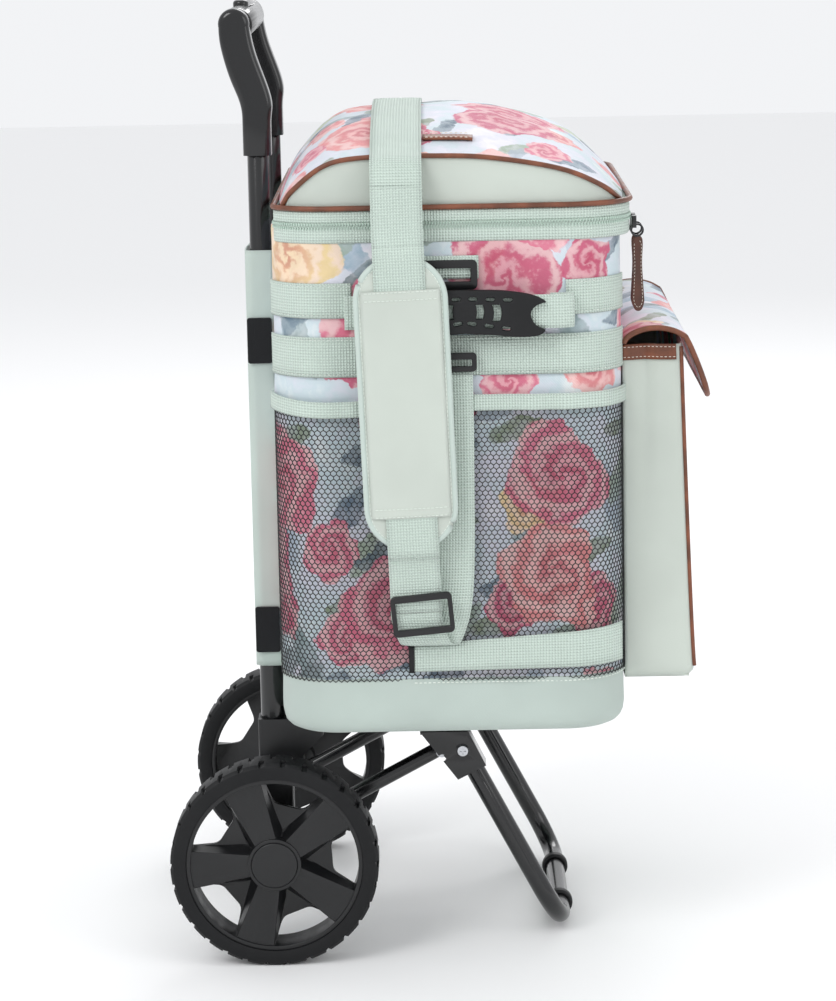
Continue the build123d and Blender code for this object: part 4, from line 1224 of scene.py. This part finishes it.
for side, tag in ((-1, "right"), (1, "left")):
    plane = (P(152, side * 199.2, 507), Vector((1, 0, 0)), Vector((0, 0, 1)))
    holes = [slot_hole(6.7 + 12.8 * k, 10.4 - 0.5 * k, 6.6, 2.8, -0.04) for k in range(3)]
    holes += [slot_hole(5.8 + 12.6 * k, -7.8 - 2.0 * k, 6.8, 3.0, -0.17) for k in range(3)]
    holes += [crescent(11.2, 0.9, 5.2, 10.6, 1.0), crescent(23.4, -0.2, 5.6, 12.4, 1.5)]
    dimples = [(40.0, -1.6, 7.6, 4.4, 1.1), (2 * GRIP_MID - 40.0, -1.6, 7.6, 4.4, 1.1),
        (GRIP_MID, 2.0, 5.2, 3.4, 0.9)]
    rides = "bag" if side < 0 else "carry_handle_left"
    grip = holed_plate(f"grip_front_{tag}", handle_outline(), both_ends(holes), plane, 4.6,
        MAT["black_rubber"], "black_rubber", rides,
                       dimples=dimples)
    for v in grip.data.vertices:
        b2 = (v.co.z - 0.507) / 0.018
        v.co.y += side * 0.0016 * (1 - b2 * b2) if abs(v.co.y) > 0.1992 else 0
    back_plane = (P(152, side * 194.6, 507), Vector((1, 0, 0)), Vector((0, 0, 1)))
    slab(f"grip_back_{tag}", round_outline(90, 25, 6, cx=0.6), back_plane, 4.4, MAT["black_rubber"],
        rides, bevel=1.8)
    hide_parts(f"carry_grip_{tag}")
    line = [P(x, side * y, 507) for x,
        y in ((64, 187.4), (75, 188), (86, 193), (97, 196.8), (150, 197.4), (205, 197.6), (222, 197),
        (231, 194), (233, 190.5), (228, 188), (216, 187.6))]
    loop = ribbon(f"loop_{tag}", smooth_path(line), Vector((0, 0, 1)), 25, 1.6, MAT["mint_webbing"],
        "mint_webbing", rides, n=80)
    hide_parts(f"carry_loop_{tag}")

# ------------------------------------------------------------ zip pulls
for node_name, body, py in (("pull_tab_front", "pull_front", -127.0),
        ("pull_tab_side", "pull_side", -143.0)):
    shape = [(0, 29.5), (2.8, 28.5), (3.8, 24), (3.2, 8), (4.4, -14), (4.6, -20), (2.8, -25.5), (0, -27),
        (-2.8, -25.5), (-4.6, -20), (-4.4, -14), (-3.2, 8), (-3.8, 24), (-2.8, 28.5)]
    shape = [(v.x, v.y) for v in smooth_path([(a, b2, 0) for a, b2 in shape], 4)]
    plane = (P(283.2, py, 526), Vector((1, 0, 0)), Vector((0, 0, 1)))
    tab = slab(f"{node_name}_leather", shape, plane, 2.6, DARK_LEATHER, body, bevel=0.6)
    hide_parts(node_name)
    for yy in (-1.5, 1.5):
        edge = [P(283.2 + a * 0.72, py + yy, 526 + b2 * 0.9) for a, b2 in shape[2:-2]]
        stitches(f"{node_name}_stitch_{int(yy + 3)}", edge, Vector((0, math.copysign(1, yy), 0)), body,
            slot="leather", pitch=2.6, size=(0.8, 0.2, 0.2))

# ------------------------------------------------------------ hard parts: finish on the CAD nodes
coil = tube("spring_coil",
    [P(-15.5 + 2.5 * math.cos(k / 2), 2.5 * math.sin(k / 2), 707 + 6.6 * k / 76) for k in range(77)], 0.35,
            MAT["bright_steel"], "bright_steel", "handle", sides=6)
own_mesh(coil)
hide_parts("button_spring")

slots = {s["node"]: s["material_slot"] for s in frame["record"]["subparts"]}
skip_bevel = {"liner", "axle_shaft", "button_spring", "push_nuts"}
for name, o in nodes.items():
    o.data.materials.clear()
    o.data.materials.append(MAT[slots[name]])
    o.data.shade_smooth()
    weld = o.modifiers.new("weld", "WELD")
    weld.merge_threshold = 0.00001
    if name not in skip_bevel:
        bev = o.modifiers.new("edges", "BEVEL")
        bev.width = 0.0012 if name.startswith(("rim", "corner")) else 0.0005
        bev.segments = 2
        bev.limit_method = "ANGLE"
        bev.angle_limit = math.radians(38)
        bev.harden_normals = True
    else:
        o.data.set_sharp_from_angle(angle=math.radians(38))

# ------------------------------------------------------------ stage, light and camera
floor_mesh = bpy.data.meshes.new("floor")
floor_mesh.from_pydata([(-9, -9, 0), (9, -9, 0), (9, 9, 0), (-9, 9, 0)], [], [(0, 1, 2, 3)])
floor = bpy.data.objects.new("floor", floor_mesh)
bpy.context.scene.collection.objects.link(floor)
floor_mat, _, _ = new_mat("floor", (0.93, 0.93, 0.93), 0.8)
floor_mesh.materials.append(floor_mat)
world = bpy.data.worlds.new("studio")
bpy.context.scene.world = world
world.use_nodes = True
world.node_tree.nodes["Background"].inputs[0].default_value = (0.97, 0.98, 1.0, 1)
world.node_tree.nodes["Background"].inputs[1].default_value = 0.92


def area(name, loc, target, size, power):
    li = bpy.data.lights.new(name, "AREA")
    li.shape = "DISK"
    li.size = size
    li.energy = power
    o = bpy.data.objects.new(name, li)
    o.location = loc
    o.rotation_euler = (Vector(target) - Vector(loc)).to_track_quat("-Z", "Y").to_euler()
    bpy.context.scene.collection.objects.link(o)


area("key", (-1.5, -2.0, 2.4), (0, 0, 0.35), 1.4, 30)
area("fill", (2.2, -1.6, 1.5), (0, 0, 0.35), 1.8, 12)
area("rim_light", (0.6, 2.4, 2.2), (0, 0, 0.4), 1.4, 22)

cam_data = bpy.data.cameras.new("camera")
cam_data.lens = 120.3
cam_data.sensor_width = 36
cam_data.clip_end = 30
cam = bpy.data.objects.new("camera", cam_data)
bpy.context.scene.collection.objects.link(cam)
bpy.context.scene.camera = cam
pitch, yaw, roll = math.radians(10.519), -0.00727, -0.0198
fwd = Vector((math.sin(yaw) * math.cos(pitch), math.cos(yaw) * math.cos(pitch), -math.sin(pitch)))
right0 = Vector((math.cos(yaw), -math.sin(yaw), 0))
up0 = right0.cross(fwd)
right = right0 * math.cos(roll) + up0 * math.sin(roll)
up = -right0 * math.sin(roll) + up0 * math.cos(roll)
cam.matrix_world = Matrix.Translation((0.0054, -2.6362, 0.8204)) @ Matrix((right, up,
    -fwd)).transposed().to_4x4()
bpy.context.scene.view_settings.view_transform = "Standard"
